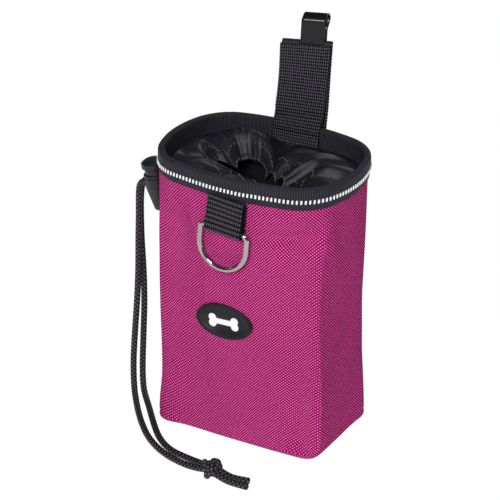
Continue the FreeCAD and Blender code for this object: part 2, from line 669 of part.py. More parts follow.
def make_clip():
    """Steel belt clip: a leg between the straps, a round bend, and a spring leg behind."""
    steel = size("clip_steel")
    radius = size("clip_bend") - steel / 2
    centre = Vector(0, size("clip_bend"), size("clip_rise") - size("clip_bend"))
    wrap = math.radians(size("clip_wrap"))

    def round_point(angle):
        return centre + Vector(0, math.cos(angle), math.sin(angle)) * radius

    bend_end = round_point(-wrap)
    heading = Vector(0, -math.sin(wrap), -math.cos(wrap))
    line = Part.Wire([
        Part.LineSegment(Vector(0, steel / 2, size("clip_foot")), round_point(math.pi)).toShape(),
        Part.Arc(round_point(math.pi), round_point(math.pi / 2), bend_end).toShape(),
    ])
    width = size("clip_width")
    place = hanger_place() * shift(size("clip_offset") - width / 2, 0, 0)
    shape_node("belt_clip", strip(line, steel, width), place)

    rear_face = steel + size("clip_play") + size("strap_tape") + size("leg_play")
    leg_y = rear_face + steel / 2
    start = bend_end + heading * size("clip_gap")
    run = (start.y - leg_y) / math.sin(wrap)
    knee = start + heading * run
    foot = Vector(0, leg_y, size("leg_foot"))
    flare = math.radians(size("leg_flare"))
    tip = foot + Vector(0, math.sin(flare), -math.cos(flare)) * size("leg_lip")
    leg = tangent_path([start, knee, foot, tip], [size("leg_knee"), size("leg_bend")])
    shape_node("clip_spring_leg", strip(leg, steel, width), place)
    return place.multVec(start + Vector(width / 2, 0, 0))


# ---------------------------------------------------------------- cord lock

def lock_place():
    reach = side_x(cord_height) + size("lock_stand_off")
    base = Vector(-reach, size("cord_centre"), cord_height - size("lock_drop"))
    return Placement(base, turned(-size("lock_tilt"), Y_AXIS))


def cord_slot(body, low, high):
    """Cut the passage for the pair of cords across a lock piece, along X."""
    sketch = new_sketch(body, "YZ_Plane")
    half = "(sizes.cord_diameter + sizes.cord_gap / 2 + sizes.cord_play)"
    polygon(sketch, [(f"-{half}", low), (half, low), (half, high), (f"-{half}", high)])
    return pocket_through(body, sketch)


def make_lock():
    """Tapered barrel with a sprung plunger; the cords pass through both."""
    grip = "(sizes.cord_diameter / 2 + sizes.cord_play)"
    stem = "sizes.stem_diameter / 2"
    skirt = "sizes.skirt_diameter / 2"
    tail = "sizes.lock_tail / 2"
    barrel = "sizes.lock_barrel / 2"
    collar = "sizes.lock_collar / 2"
    stem_bottom = f"-({grip} + sizes.bridge)"
    bore_bottom = f"{stem_bottom} - sizes.press_travel - sizes.stem_play"
    ledge = "(sizes.lock_top - sizes.press_travel - 2 * sizes.stem_play)"
    body = new_body("lock_body")
    sketch = new_sketch(body, "XZ_Plane")
    polygon(sketch, [
        ("0", "-sizes.lock_tail_length"), (f"{tail} - sizes.tail_ease", "-sizes.lock_tail_length"),
        (tail, "-sizes.lock_tail_length + sizes.tail_ease"),
        ("sizes.lock_waist / 2", "-sizes.lock_taper_top"), (barrel, "-sizes.lock_groove"),
        (barrel, "sizes.lock_groove"),
        (f"{barrel} - sizes.lock_ease", "sizes.lock_groove + sizes.lock_ease / 2"),
        (collar, "sizes.lock_groove + 2 * sizes.lock_ease"), (collar, "sizes.lock_top - sizes.lock_ease"),
        (f"{collar} - sizes.lock_ease", "sizes.lock_top"), (f"{skirt} + sizes.stem_play", "sizes.lock_top"),
        (f"{skirt} + sizes.stem_play", ledge), (f"{stem} + sizes.stem_play", ledge),
        (f"{stem} + sizes.stem_play", bore_bottom), ("sizes.spring_bore / 2", bore_bottom),
        ("sizes.spring_bore / 2", "-sizes.spring_seat - sizes.stem_play"),
        ("0", "-sizes.spring_seat - sizes.stem_play"),
    ])
    revolve(body, sketch)
    cord_slot(body, f"-{grip}", grip)
    body.Placement = lock_place()

    plunger = new_body("lock_plunger")
    sketch = new_sketch(plunger, "XZ_Plane")
    under_cap = "(sizes.lock_top + sizes.press_travel + sizes.stem_play)"
    skirt_bottom = f"({ledge} + sizes.press_travel + sizes.stem_play)"
    cap = "sizes.cap_diameter / 2"
    cap_top = f"({under_cap} + sizes.cap_height)"
    polygon(sketch, [
        ("0", stem_bottom), (stem, stem_bottom), (stem, skirt_bottom), (skirt, skirt_bottom),
        (skirt, under_cap), (f"{cap} - sizes.cap_ease", under_cap), (cap, f"{under_cap} + sizes.cap_ease"),
        (cap, f"{cap_top} - sizes.cap_dome - sizes.cap_ease / 2"),
        (f"{cap} - sizes.cap_ease", f"{cap_top} - sizes.cap_dome + sizes.cap_ease / 2"),
        (f"{cap} - 3 * sizes.cap_ease", f"{cap_top} - sizes.lock_ease"), ("0", cap_top),
    ])
    revolve(plunger, sketch)
    cord_slot(plunger, f"-{grip}", f"{grip} + sizes.press_travel")
    plunger.Placement = lock_place()


def make_spring():
    """Compression spring between the barrel's floor and the plunger."""
    grip = size("cord_diameter") / 2 + size("cord_play")
    top = -(grip + size("bridge")) - size("stem_play")
    bottom = -size("spring_seat")
    wire = size("spring_wire")
    height = top - bottom - wire
    radius = (size("spring_diameter") - wire) / 2
    helix = Part.makeHelix(height / size("spring_turns"), height, radius)
    section = Part.Wire([Part.makeCircle(wire / 2, Vector(radius, 0, 0), Y_AXIS)])
    coil = Part.Wire(helix.Edges).makePipeShell([section], True, True)
    shape_node("lock_spring", coil, lock_place() * shift(0, 0, bottom + wire / 2))


# ---------------------------------------------------------------- build, check and write

make_tub()
make_rim()
make_collar()
strand_start = make_drawstring()
make_free_cords(strand_start)
make_eyelet()
make_ring_loop()
make_d_ring()
make_label()
make_bone()
make_tabs()
make_straps()
hinge_point = make_clip()
make_lock()
make_spring()
document.recompute()

for item in document.Objects:
    if "Invalid" in item.State or "Error" in item.State:
        raise RuntimeError(f"{item.Label} failed: {item.State}")
for label, item in nodes.items():
    if item.Shape.isNull() or not item.Shape.isValid() or not item.Shape.Solids:
        raise RuntimeError(f"{label} has no valid solid")

print("ring pivot", ring_place().Base, "ring axis", ring_place().Rotation.multVec(X_AXIS))
print("fold pivot", hanger_place().Base, "leg pivot", hinge_point)
print("hanger X axis", hanger_place().Rotation.multVec(X_AXIS))
print("lock axis", lock_place().Rotation.multVec(Z_AXIS))
print("cord axis", lock_place().Rotation.multVec(X_AXIS))
print("wall slope", wall_slope(), "label", label_place())

os.makedirs("parts", exist_ok=True)
for label, item in nodes.items():
    item.Shape.exportStep(f"parts/{label}.step")
    box = item.Shape.BoundBox
    print(f"{label:20s} solids {len(item.Shape.Solids)} volume {item.Shape.Volume:9.1f}"
          f"  x {box.XMin:7.2f} {box.XMax:7.2f}  y {box.YMin:7.2f} {box.YMax:7.2f}"
          f"  z {box.ZMin:7.2f} {box.ZMax:7.2f}")
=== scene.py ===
import json
import math

import bmesh
import bpy
from mathutils import Matrix, Vector, noise
from mathutils.bvhtree import BVHTree


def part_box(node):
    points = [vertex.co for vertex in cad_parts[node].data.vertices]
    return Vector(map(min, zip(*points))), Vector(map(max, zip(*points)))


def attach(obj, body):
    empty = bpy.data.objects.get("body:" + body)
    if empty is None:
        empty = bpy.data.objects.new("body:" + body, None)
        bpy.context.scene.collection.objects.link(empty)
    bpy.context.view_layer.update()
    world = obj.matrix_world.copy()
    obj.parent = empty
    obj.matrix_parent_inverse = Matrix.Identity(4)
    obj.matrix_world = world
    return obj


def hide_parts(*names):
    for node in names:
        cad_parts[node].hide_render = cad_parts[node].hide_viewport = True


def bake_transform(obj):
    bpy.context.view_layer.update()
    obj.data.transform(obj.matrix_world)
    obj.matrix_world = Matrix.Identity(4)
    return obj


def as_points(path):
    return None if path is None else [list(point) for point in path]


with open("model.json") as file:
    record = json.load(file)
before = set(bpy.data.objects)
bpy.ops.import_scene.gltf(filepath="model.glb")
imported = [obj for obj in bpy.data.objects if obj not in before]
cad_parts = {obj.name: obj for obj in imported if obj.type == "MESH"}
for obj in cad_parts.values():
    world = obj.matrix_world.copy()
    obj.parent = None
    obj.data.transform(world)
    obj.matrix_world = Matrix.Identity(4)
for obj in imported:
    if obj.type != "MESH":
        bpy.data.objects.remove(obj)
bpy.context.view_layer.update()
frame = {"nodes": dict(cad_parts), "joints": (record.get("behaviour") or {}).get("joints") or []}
mm = 0.001
fullTurn = 2 * math.pi
print("frame loaded")


# node trees and colours

def hexColour(code):
    # sRGB hex to the linear colour that a shader takes
    parts = [int(code[at:at + 2], 16) / 255 for at in (0, 2, 4)]
    linear = [part / 12.92 if part <= 0.04045 else ((part + 0.055) / 1.055) ** 2.4 for part in parts]
    return (*linear, 1.0)


def addNode(tree, kind, settings=None, inputs=None):
    node = tree.nodes.new("ShaderNode" + kind)
    for name, value in (settings or {}).items():
        setattr(node, name, value)
    for name, value in (inputs or {}).items():
        if isinstance(value, bpy.types.NodeSocket):
            tree.links.new(value, node.inputs[name])
        else:
            node.inputs[name].default_value = value
    return node


def startMaterial(name, surface):
    # a material with one Principled shader, whose plain numbers sit on its own sockets
    material = bpy.data.materials.new(name)
    material.use_nodes = True
    tree = material.node_tree
    tree.nodes.clear()
    shader = addNode(tree, "BsdfPrincipled", inputs=surface)
    addNode(tree, "OutputMaterial", inputs={"Surface": shader.outputs["BSDF"]})
    return material, tree, shader


def addMath(tree, operation, *values):
    return addNode(tree, "Math", {"operation": operation}, dict(enumerate(values))).outputs[0]


def addNoise(tree, place, scale, detail, **more):
    inputs = {"Vector": place, "Scale": scale, "Detail": detail, **more}
    return addNode(tree, "TexNoise", inputs=inputs).outputs["Fac"]


def addWave(tree, place, direction, pitch, distortion=0.0, **more):
    # sine bands; the wave texture repeats every 0.314 units at scale 1
    inputs = {"Vector": place, "Scale": 2 * math.pi / 20 / pitch, "Distortion": distortion, **more}
    return addNode(tree, "TexWave", {"bands_direction": direction}, inputs).outputs["Fac"]


def crossedWaves(tree, place, acrossPitch, alongPitch):
    # two crossed sine waves multiplied: a staggered grid of raised floats, 0 to 1
    across = addMath(tree, "SUBTRACT", addWave(tree, place, "X", acrossPitch), 0.5)
    along = addMath(tree, "SUBTRACT", addWave(tree, place, "Y", alongPitch), 0.5)
    return addMath(tree, "MULTIPLY_ADD", addMath(tree, "MULTIPLY", across, along), 2.0, 0.5)


def spreadNoise(tree, cloud, low, high):
    # takes the middle part of a noise to the range from low to high
    inputs = {"Value": cloud, "From Min": 0.3, "From Max": 0.7, "To Min": low, "To Max": high}
    return addNode(tree, "MapRange", inputs=inputs).outputs["Result"]


def addRamp(tree, value, stops):
    node = addNode(tree, "ValToRGB", inputs={"Fac": value})
    ramp = node.color_ramp
    while len(ramp.elements) < len(stops):
        ramp.elements.new(0.5)
    for element, (position, code) in zip(ramp.elements, stops):
        element.position = position
        element.color = hexColour(code)
    return node.outputs["Color"]


def paint(tree, shader, colour):
    tree.links.new(colour, shader.inputs["Base Color"])


def addBump(tree, shader, height, distance, strength=1.0, under=None):
    inputs = {"Height": height, "Distance": distance, "Strength": strength}
    if under is not None:
        inputs["Normal"] = under
    bump = addNode(tree, "Bump", inputs=inputs)
    tree.links.new(bump.outputs["Normal"], shader.inputs["Normal"])
    return bump.outputs["Normal"]


def flatPlace(tree):
    # the place on the flat cloth, in mm
    return addNode(tree, "UVMap", {"uv_map": "weave"}).outputs["UV"]


def solidPlace(tree):
    return addNode(tree, "TexCoord").outputs["Object"]


# materials

# the light colour is a painted highlight, the pale glint on each float; dark and middle are the dye
oxford = {"threadPitch": 1.72, "rowPitch": 1.49, "dark": "8a0052", "middle": "98005e", "light": "f282be"}


def makeOxford():
    # coated Oxford weave polyester: a painted highlight (a pale glint) on each float, saturated dye between
    # them
    material, tree, shader = startMaterial("oxford_weave_polyester", {
        "Roughness": 0.6, "Specular IOR Level": 0.0})
    floats = crossedWaves(tree, flatPlace(tree), oxford["threadPitch"], oxford["rowPitch"])
    dyeAndPaintedGlints = addRamp(tree, floats, [(0.5, oxford["dark"]), (0.62, oxford["middle"]), (0.86, oxford["light"])])
    patches = addNoise(tree, solidPlace(tree), 28.0, 3.0)
    shade = spreadNoise(tree, patches, 0.94, 1.05)
    tone = addNode(tree, "HueSaturation", inputs={"Color": dyeAndPaintedGlints, "Value": shade})
    paint(tree, shader, tone.outputs["Color"])
    addBump(tree, shader, floats, 0.12 * mm, 0.8)
    return material


def makeTape(name, ribPitch, dark, light, roughness, depth):
    # woven tape: fine ribs across its length, painted darker in the grooves as painted shade and lighter on the
    # rib tops as a painted highlight
    material, tree, shader = startMaterial(name, {"Roughness": roughness, "Specular IOR Level": 0.1})
    ribs = addWave(tree, flatPlace(tree), "X", ribPitch, 0.35, **{"Detail": 1.0, "Detail Scale": 2.0})
    paint(tree, shader, addRamp(tree, ribs, [(0.15, dark), (0.9, light)]))
    addBump(tree, shader, ribs, depth)
    return material


web = {"ribPitch": 1.6, "yarnPitch": 1.1, "relief": 0.26, "waviness": 0.4, "wavePitch": 2.3,
       # stitches hold the ribs down to this share, and sink the tape
       "held": 0.25, "sunk": 0.3}


def makeWebbing():
    # nylon webbing: the ribs are modelled, with painted shade darkening the grooves and a painted highlight on
    # the yarn float of each rib
    material, tree, shader = startMaterial("black_nylon_webbing", {
        "Roughness": 0.5, "Specular IOR Level": 0.14})
    place = flatPlace(tree)
    tops = addMath(tree, "SUBTRACT", 1.0, addWave(tree, place, "Y", web["ribPitch"]))
    floats = addWave(tree, place, "X", web["yarnPitch"], 0.4)
    # painted light: bright on each float over a rib top, dark in the grooves
    lit = addMath(tree, "MULTIPLY", addMath(tree, "MULTIPLY_ADD", floats, 0.6, 0.4), tops)
    paint(tree, shader, addRamp(tree, lit, [(0.15, "000001"), (0.5, "0d0c10"), (0.9, "57545d")]))
    under = addBump(tree, shader, addNoise(tree, place, 3.0, 2.0), 0.06 * mm)
    addBump(tree, shader, floats, 0.12 * mm, 0.8, under)
    return material


def makeNylon():
    # calendered nylon taffeta: tight plain weave that shines softly along its creases
    material, tree, shader = startMaterial("black_nylon_taffeta", {
        "Roughness": 0.48, "Specular IOR Level": 0.25})
    place = solidPlace(tree)
    wide = addNoise(tree, place, 60.0, 4.0, Roughness=0.6)
    paint(tree, shader, addRamp(tree, wide, [(0.3, "121116"), (0.7, "1f1e25")]))
    under = addBump(tree, shader, addNoise(tree, place, 130.0, 5.0, Distortion=0.6), 0.7 * mm, 0.5)
    addBump(tree, shader, addNoise(tree, place, 1800.0, 1.0), 0.05 * mm, 0.6, under)
    return material


braid = {"yarnsRound": 4, "across": 2.67, "repeat": 2.3, "relief": 0.13, "columns": 24, "step": 0.46}


def makeBraid():
    # braided polyester: the crossing yarns are modelled, with a painted highlight where each one turns over and
    # painted shade between them
    material, tree, shader = startMaterial("braided_polyester_cord", {
        "Roughness": 0.55, "Specular IOR Level": 0.25})
    place = flatPlace(tree)
    yarn = crossedWaves(tree, place, braid["across"], braid["repeat"])
    paint(tree, shader, addRamp(tree, yarn, [(0.25, "0c0b0f"), (0.6, "1c1b20"), (0.92, "66646c")]))
    addBump(tree, shader, addNoise(tree, place, 4.0, 2.0), 0.1 * mm)
    return material


def makePlain(name, surface, low, high, grain, depth, roughRange):
    # a smooth finish with slight uneven colour, gloss and grain
    material, tree, shader = startMaterial(name, surface)
    place = solidPlace(tree)
    cloud = addNoise(tree, place, 90.0, 3.0)
    paint(tree, shader, addRamp(tree, cloud, [(0.3, low), (0.7, high)]))
    tree.links.new(spreadNoise(tree, cloud, *roughRange), shader.inputs["Roughness"])
    addBump(tree, shader, addNoise(tree, place, grain, 2.0), depth)
    return material


materials = {
    "pouch_cloth": makeOxford(),
    # the dark colour is painted shade in the tape's grooves, the pale one a painted highlight on its ribs
    "binding_tape": makeTape("black_grosgrain_tape", 0.75, "07070a", "403f4a", 0.6, 0.12 * mm),
    "webbing": makeWebbing(),
    "lining_nylon": makeNylon(),
    "braided_cord": makeBraid(),
    # nickel plated wire: bright, with faint plating haze
    "ring_nickel": makePlain("nickel_plated_wire", {"Metallic": 1.0}, "a39d9f", "b8b2b4", 900.0, 0.01 * mm,
                             (0.08, 0.16)),
    # spring steel under glossy black paint
    "clip_steel": makePlain("black_painted_spring_steel",
                            {"Coat Weight": 0.25, "Coat Roughness": 0.12, "Specular IOR Level": 0.2},
                            "0c0c0e", "131216", 1200.0, 0.03 * mm, (0.28, 0.4)),
    # moulded acetal: even, soft shine
    "lock_plastic": makePlain("black_moulded_plastic", {"Specular IOR Level": 0.4}, "17171a", "201f24",
                              1500.0, 0.03 * mm, (0.32, 0.42)),
    # moulded soft rubber: matt with a fine spark-eroded grain
    "label_rubber": makePlain("dark_moulded_rubber", {"Specular IOR Level": 0.3}, "161518", "201f23", 1400.0,
                              0.06 * mm, (0.5, 0.62)),
    "label_print": makePlain("white_rubber_print", {"Specular IOR Level": 0.4}, "e9e9ea", "f6f6f6", 1400.0,
                             0.02 * mm, (0.45, 0.55)),
    # glass-bead reflective yarn: pale grey and slightly glossy
    "reflective_yarn": makePlain("reflective_yarn", {"Specular IOR Level": 0.5}, "f4f5f8", "ffffff", 1800.0,
                                 0.05 * mm, (0.35, 0.5)),
    "label_yarn": makePlain("black_sewing_thread", {"Specular IOR Level": 0.2}, "060607", "0e0e10", 2500.0,
                            0.05 * mm, (0.5, 0.65)),
    "eyelet_metal": makePlain("black_enamelled_brass", {"Coat Weight": 0.4}, "1c1b1f", "26252a", 900.0,
                              0.02 * mm, (0.3, 0.4)),
    "board_plastic": makePlain("black_polypropylene_board", {}, "1b1b1d", "242427", 700.0, 0.05 * mm,
                               (0.5, 0.6)),
    "hoop_steel": makePlain("bright_spring_steel", {"Metallic": 1.0}, "8f9094", "a5a6aa", 700.0, 0.01 * mm,
                            (0.25, 0.35)),
    "spring_steel": makePlain("bright_spring_wire", {"Metallic": 1.0}, "8f9094", "b1b2b6", 700.0, 0.01 * mm,
                              (0.2, 0.3)),
}
print("materials ready")


# making pieces

def link(name, mesh):
    piece = bpy.data.objects.new(name, mesh)
    bpy.context.scene.collection.objects.link(piece)
    return piece


def finishPiece(name, shape, slot, body=None, replaced=(), smooth=True):
    # the bmesh becomes a piece with its material, riding on a body and standing for CAD nodes
    bmesh.ops.recalc_face_normals(shape, faces=shape.faces)
    mesh = bpy.data.meshes.new(name)
    shape.to_mesh(mesh)
    shape.free()
    for face in mesh.polygons:
        face.use_smooth = smooth
    piece = link(name, mesh)
    mesh.materials.append(materials[slot])
    if replaced:
        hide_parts(*replaced)
    if body:
        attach(piece, body)
    return piece


def addModifier(piece, kind, **settings):
    modifier = piece.modifiers.new(kind.title(), kind)
    for name, value in settings.items():
        setattr(modifier, name, value)


def applyModifiers(piece):
    graph = bpy.context.evaluated_depsgraph_get()
    mesh = bpy.data.meshes.new_from_object(piece.evaluated_get(graph))
    piece.modifiers.clear()
    piece.data = mesh


def wrapGrid(columns, rows, place, flat, closedColumns=False, closedRows=False):
    # a flat piece of cloth, flat mm in size, laid where place(u, v) says; u and v run from 0 to 1
    shape = bmesh.new()
    bmesh.ops.create_grid(shape, x_segments=columns, y_segments=rows, size=0.5)
    weave = shape.loops.layers.uv.new("weave")
    for face in shape.faces:
        for loop in face.loops:
            spot = loop.vert.co
            loop[weave].uv = ((spot.x + 0.5) * flat[0], (spot.y + 0.5) * flat[1])
    lastColumn = 0.9999  # it lands on the first one when the columns close
    for vert in shape.verts:
        u, v = vert.co.x + 0.5, vert.co.y + 0.5
        vert.co = place(u % 1.0 if closedColumns and u > lastColumn else u, v)
    if closedColumns or closedRows:
        bmesh.ops.remove_doubles(shape, verts=shape.verts, dist=1e-6)
    return shape


def mergeInto(shape, part):
    mesh = bpy.data.meshes.new("part")
    part.to_mesh(mesh)
    part.free()
    shape.from_mesh(mesh)
    bpy.data.meshes.remove(mesh)


def smoothLine(points, order=3):
    # dense points of the NURBS line that the route gives
    curve = bpy.data.curves.new("route", "CURVE")
    curve.dimensions = "3D"
    spline = curve.splines.new("NURBS")
    spline.points.add(len(points) - 1)
    for knot, point in zip(spline.points, points):
        knot.co = (*point, 1.0)
    spline.order_u = order
    spline.use_endpoint_u = True
    spline.resolution_u = 24
    holder = bpy.data.objects.new("route", curve)
    bpy.context.scene.collection.objects.link(holder)
    bpy.context.view_layer.update()
    mesh = bpy.data.meshes.new_from_object(holder)
    line = [vert.co.copy() for vert in mesh.vertices]
    bpy.data.objects.remove(holder)
    bpy.data.curves.remove(curve)
    bpy.data.meshes.remove(mesh)
    return line


class Line:
    # a line with its length, to read places and directions evenly along it
    def __init__(self, points):
        self.points = points
        self.reach = [0.0]
        for before, after in zip(points, points[1:]):
            self.reach.append(self.reach[-1] + (after - before).length)
        self.length = self.reach[-1]
        self.turned = [Vector((1, 0, 0))]
        for index in range(1, len(points)):
            old = (points[index] - points[index - 1]).normalized()
            new = (points[min(index + 1, len(points) - 1)] - points[index - 1]).normalized()
            side = self.turned[-1] - new * self.turned[-1].dot(new)
            self.turned.append(side.normalized() if side.length > 1e-6 else old.orthogonal().normalized())

    def read(self, share):
        # the place, the direction and one steady sideways direction
        want = min(max(share, 0.0), 1.0) * self.length
        low, high = 0, len(self.points) - 1
        while high - low > 1:
            middle = (low + high) // 2
            if self.reach[middle] <= want:
                low = middle
            else:
                high = middle
        part = (want - self.reach[low]) / max(self.reach[high] - self.reach[low], 1e-12)
        spot = self.points[low].lerp(self.points[high], part)
        ahead = (self.points[high] - self.points[low]).normalized()
        side = self.turned[low].lerp(self.turned[high], part)
        side = (side - ahead * side.dot(ahead)).normalized()
        return spot, ahead, side


def makeCord(line, diameter):
    # braided tube: yarns cross over each other as a staggered relief round the line
    length = line.length / mm
    along = max(8, round(length / braid["step"]))
    radius = diameter / 2

    def place(u, v):
        spot, ahead, side = line.read(v)
        turn = u * fullTurn
        out = side * math.cos(turn) + ahead.cross(side) * math.sin(turn)
        crossing = math.cos(turn * braid["yarnsRound"]) * math.cos(fullTurn * v * length / braid["repeat"])
        return spot + out * (radius + braid["relief"] * mm * (crossing - 0.45))

    return wrapGrid(braid["columns"], along, place, (math.pi * diameter / mm, length), closedColumns=True)


# the tub's wall, read from the frame

tub = {"columns": 360, "rows": 48, "low": 1.6, "high": 152.0, "smoothing": 3}


def readTub():
    mesh = frame["nodes"]["outer_shell"].data
    tree = BVHTree.FromPolygons([vert.co.copy() for vert in mesh.vertices],
                                [list(face.vertices) for face in mesh.polygons])
    table = []
    for row in range(tub["rows"] + 1):
        height = tub["low"] + (tub["high"] - tub["low"]) * row / tub["rows"]
        ring = []
        for column in range(tub["columns"]):
            turn = fullTurn * column / tub["columns"]
            heading = Vector((math.cos(turn), math.sin(turn), 0))
            far = heading * 0.2 + Vector((0, 0, height * mm))
            hit = tree.ray_cast(far, -heading)[0]
            ring.append(math.hypot(hit.x, hit.y) if hit else None)
        for column, radius in enumerate(ring):
            if radius is None or radius < 0.02:
                ring[column] = ring[column - 1]
        window = range(-tub["smoothing"], tub["smoothing"] + 1)
        ring = [sum(ring[(column + step) % len(ring)] for step in window) / len(window)
                for column in range(len(ring))]
        table.append(ring)
    return table


tubTable = readTub()


def tubRadius(turn, height):
    row = (height - tub["low"]) / (tub["high"] - tub["low"]) * tub["rows"]
    row = min(max(row, 0.0), tub["rows"] - 1e-6)
    column = (turn % fullTurn) / fullTurn * tub["columns"]
    low, left = int(row), int(column)
    right = (left + 1) % tub["columns"]
    left %= tub["columns"]
    rise, part = row - low, column - int(column)
    lower = tubTable[low][left] * (1 - part) + tubTable[low][right] * part
    upper = tubTable[low + 1][left] * (1 - part) + tubTable[low + 1][right] * part
    return lower * (1 - rise) + upper * rise


def tubPoint(turn, height, out=0.0):
    # a place out mm outside the tub's wall, with the wall's outward direction
    step = 0.01
    radius = tubRadius(turn, height)
    slope = (tubRadius(turn + step, height) - tubRadius(turn - step, height)) / (2 * step)
    cosine, sine = math.cos(turn), math.sin(turn)
    outward = Vector((slope * sine + radius * cosine, radius * sine - slope * cosine, 0)).normalized()
    return Vector((radius * cosine, radius * sine, height * mm)) + outward * out * mm, outward


def evenTurns(height, start=math.pi / 2, count=720):
    # turns that divide the ring at this height into equal lengths, from the rear middle on
    lengths = [0.0]
    spots = [tubPoint(start + fullTurn * index / count, height)[0] for index in range(count + 1)]
    for before, after in zip(spots, spots[1:]):
        lengths.append(lengths[-1] + (after - before).length)
    return lengths


rimLengths = evenTurns(148.0)
rimLength = rimLengths[-1]


def evenTurn(share):
    want = (share % 1.0) * rimLength
    low, high = 0, len(rimLengths) - 1
    while high - low > 1:
        middle = (low + high) // 2
        if rimLengths[middle] <= want:
            low = middle
        else:
            high = middle
    part = (want - rimLengths[low]) / (rimLengths[high] - rimLengths[low])
    return math.pi / 2 + fullTurn * (low + part) / (len(rimLengths) - 1)


# how the soft wall differs from the CAD tub: hollows, bulges, a front fold and creases

# faces that the cloth folds flat: turns from edge to edge, how far each edge stands out, the heights
# over which the fold comes and goes, and how far its middle edge turns aside near the rim
facets = [((-1.98, -2.66), (-0.4, -0.2), (8, 60, 112, 140), 0.0),
          ((-0.98, -0.5, -0.1), (0.0, 2.2, 0.0), (0, 10, 120, 146), 0.2)]
edgeSway = {"above": 110, "turn": 0.018, "wave": 17}


def facetDepth(turn, height):
    turn = (turn + math.pi) % fullTurn - math.pi
    result = 0.0
    for turns, outs, (start, rise, fall, end), flare in facets:
        sway = flare * max(0.0, height / edgeSway["above"] - 1) ** 1.5 * 3
        sway += edgeSway["turn"] * math.sin(height / edgeSway["wave"])
        turns = [turns[0], *(edge + sway for edge in turns[1:-1]), turns[-1]]
        weight = min(1.0, max(0.0, (height - start) / (rise - start)),
                     max(0.0, (end - height) / (end - fall)))
        weight = weight * weight * (3 - 2 * weight)
        for first, second, outFirst, outSecond in zip(turns, turns[1:], outs, outs[1:]):
            low, high = min(first, second), max(first, second)
            if not low <= turn <= high:
                continue
            near = tubRadius(first, height) + outFirst * mm
            far = tubRadius(second, height) + outSecond * mm
            slant = near * math.sin(abs(turn - first)) + far * math.sin(abs(second - turn))
            chord = near * far * math.sin(abs(second - first)) / slant
            result += weight * (chord - tubRadius(turn, height)) / mm
    return result


sag = {"unevenness": 0.45, "baseReach": 26, "wallRadius": 45,
       # rise halfway up the wall and half width in radians
       "rightHollow": (1.6, 0.45), "leftBulge": (3.4, 0.5),
       "frontBelly": (0.9, 0.55), "rearHollow": (1.0, 0.5),
       # corners that keep their sharp edge: turn, half width, bulge halfway up, bulge at the base
       "corners": [(0.58, 0.2, -0.3, 1.9), (-2.6, 0.15, 0.3, 3.3)],
       # soft dents and swells: turn, height, reach along and across in mm, tilt in degrees, rise
       "dents": [(-0.74, 134, 11, 6, 0, 1.9), (-0.88, 124, 18, 2.8, 4, -1.9), (-0.86, 112, 9, 6, 35, 1.7),
                 (-2.1, 121, 3.0, 10, 12, 1.3), (-2.32, 118, 6, 18, 0, -1.8), (-2.32, 76, 10, 40, 8, -0.8),
                 (-2.42, 10, 5, 6, 0, -0.8), (-0.35, 118, 5, 22, 20, 0.9), (0.05, 60, 9, 18, -20, -0.9),
                 (-1.62, 103, 15, 11, 0, -0.9), (-1.5, 40, 22, 14, 10, 0.5), (0.9, 95, 12, 9, 30, -0.8),
                 (2.2, 70, 14, 12, -25, -0.8), (1.5, 40, 16, 10, 15, 0.7), (2.9, 100, 9, 14, 20, 0.8)]}


def apart(turn, centre):
    return abs((turn - centre + math.pi) % fullTurn - math.pi)


def sideSag(name, turn, centre, middle):
    rise, width = sag[name]
    return rise * middle * math.exp(-(apart(turn, centre) / width) ** 2)


def wallSag(turn, height):
    level = height / tub["high"]
    middle = math.sin(math.pi * min(max(level, 0.0), 1.0))
    result = -sideSag("rightHollow", turn, 0.0, middle)
    result += sideSag("leftBulge", turn, math.pi, middle)
    result += sideSag("frontBelly", turn, -math.pi / 2, middle ** 2)
    for turnAt, width, halfway, low in sag["corners"]:
        rise = halfway * middle + low * math.exp(-(height / sag["baseReach"]) ** 2)
        result += rise * math.exp(-(apart(turn, turnAt) / width) ** 2)
    for turnAt, heightAt, along, across, tilt, rise in sag["dents"]:
        gap = ((turn - turnAt + math.pi) % fullTurn - math.pi) * sag["wallRadius"]
        cosine, sine = math.cos(math.radians(tilt)), math.sin(math.radians(tilt))
        step = height - heightAt
        first, second = gap * cosine + step * sine, step * cosine - gap * sine
        result += rise * math.exp(-(first / along) ** 2 - (second / across) ** 2)
    result -= sideSag("rearHollow", turn, math.pi / 2, middle)
    spot = Vector((math.cos(turn) * 1.7, math.sin(turn) * 1.7, level * 2.6))
    swell = noise.noise(spot * 1.3) + 0.5 * noise.noise(spot * 2.7 + Vector((3, 1, 7)))
    return result + facetDepth(turn, height) + sag["unevenness"] * swell * middle ** 0.5


shell = {"columns": 300, "wallRows": 90, "footRows": 10, "cloth": 0.8, "footRadius": 2.6, "underlap": 3.0,
         "seamHeight": 4.2, "seamDepth": 0.35, "seamWidth": 0.9}


def footProfile(share):
    # the turned bottom edge: flat under the pouch, then round up to the wall; inset and height in mm
    flatPart = 0.3
    radius = shell["footRadius"]
    if share < flatPart:
        return radius + shell["underlap"] * (1 - share / flatPart), 0.0
    turn = (share - flatPart) / (1 - flatPart) * math.pi / 2
    return radius * (1 - math.sin(turn)), radius * (1 - math.cos(turn))


def makeShell():
    rows = shell["wallRows"] + shell["footRows"]
    foot = shell["footRows"] / rows

    def place(u, v):
        turn = evenTurn(u)
        if v < foot:
            inset, height = footProfile(v / foot)
        else:
            inset = 0.0
            height = shell["footRadius"] + (tub["high"] - shell["footRadius"]) * (v - foot) / (1 - foot)
        seam = shell["seamDepth"] * math.exp(-((height - shell["seamHeight"]) / shell["seamWidth"]) ** 2)
        spot = tubPoint(turn, height, wallSag(turn, height) - inset - seam)[0]
        spot.z = height * mm
        return spot

    shape = wrapGrid(shell["columns"], rows, place, (rimLength / mm, tub["high"]), closedColumns=True)
    piece = finishPiece("pouch_cloth_body", shape, "pouch_cloth", "pouch", ["outer_shell"])
    addModifier(piece, "SOLIDIFY", thickness=shell["cloth"] * mm, offset=-1.0)


base = {"corners": 160, "height": 1.0, "inset": -3.2}


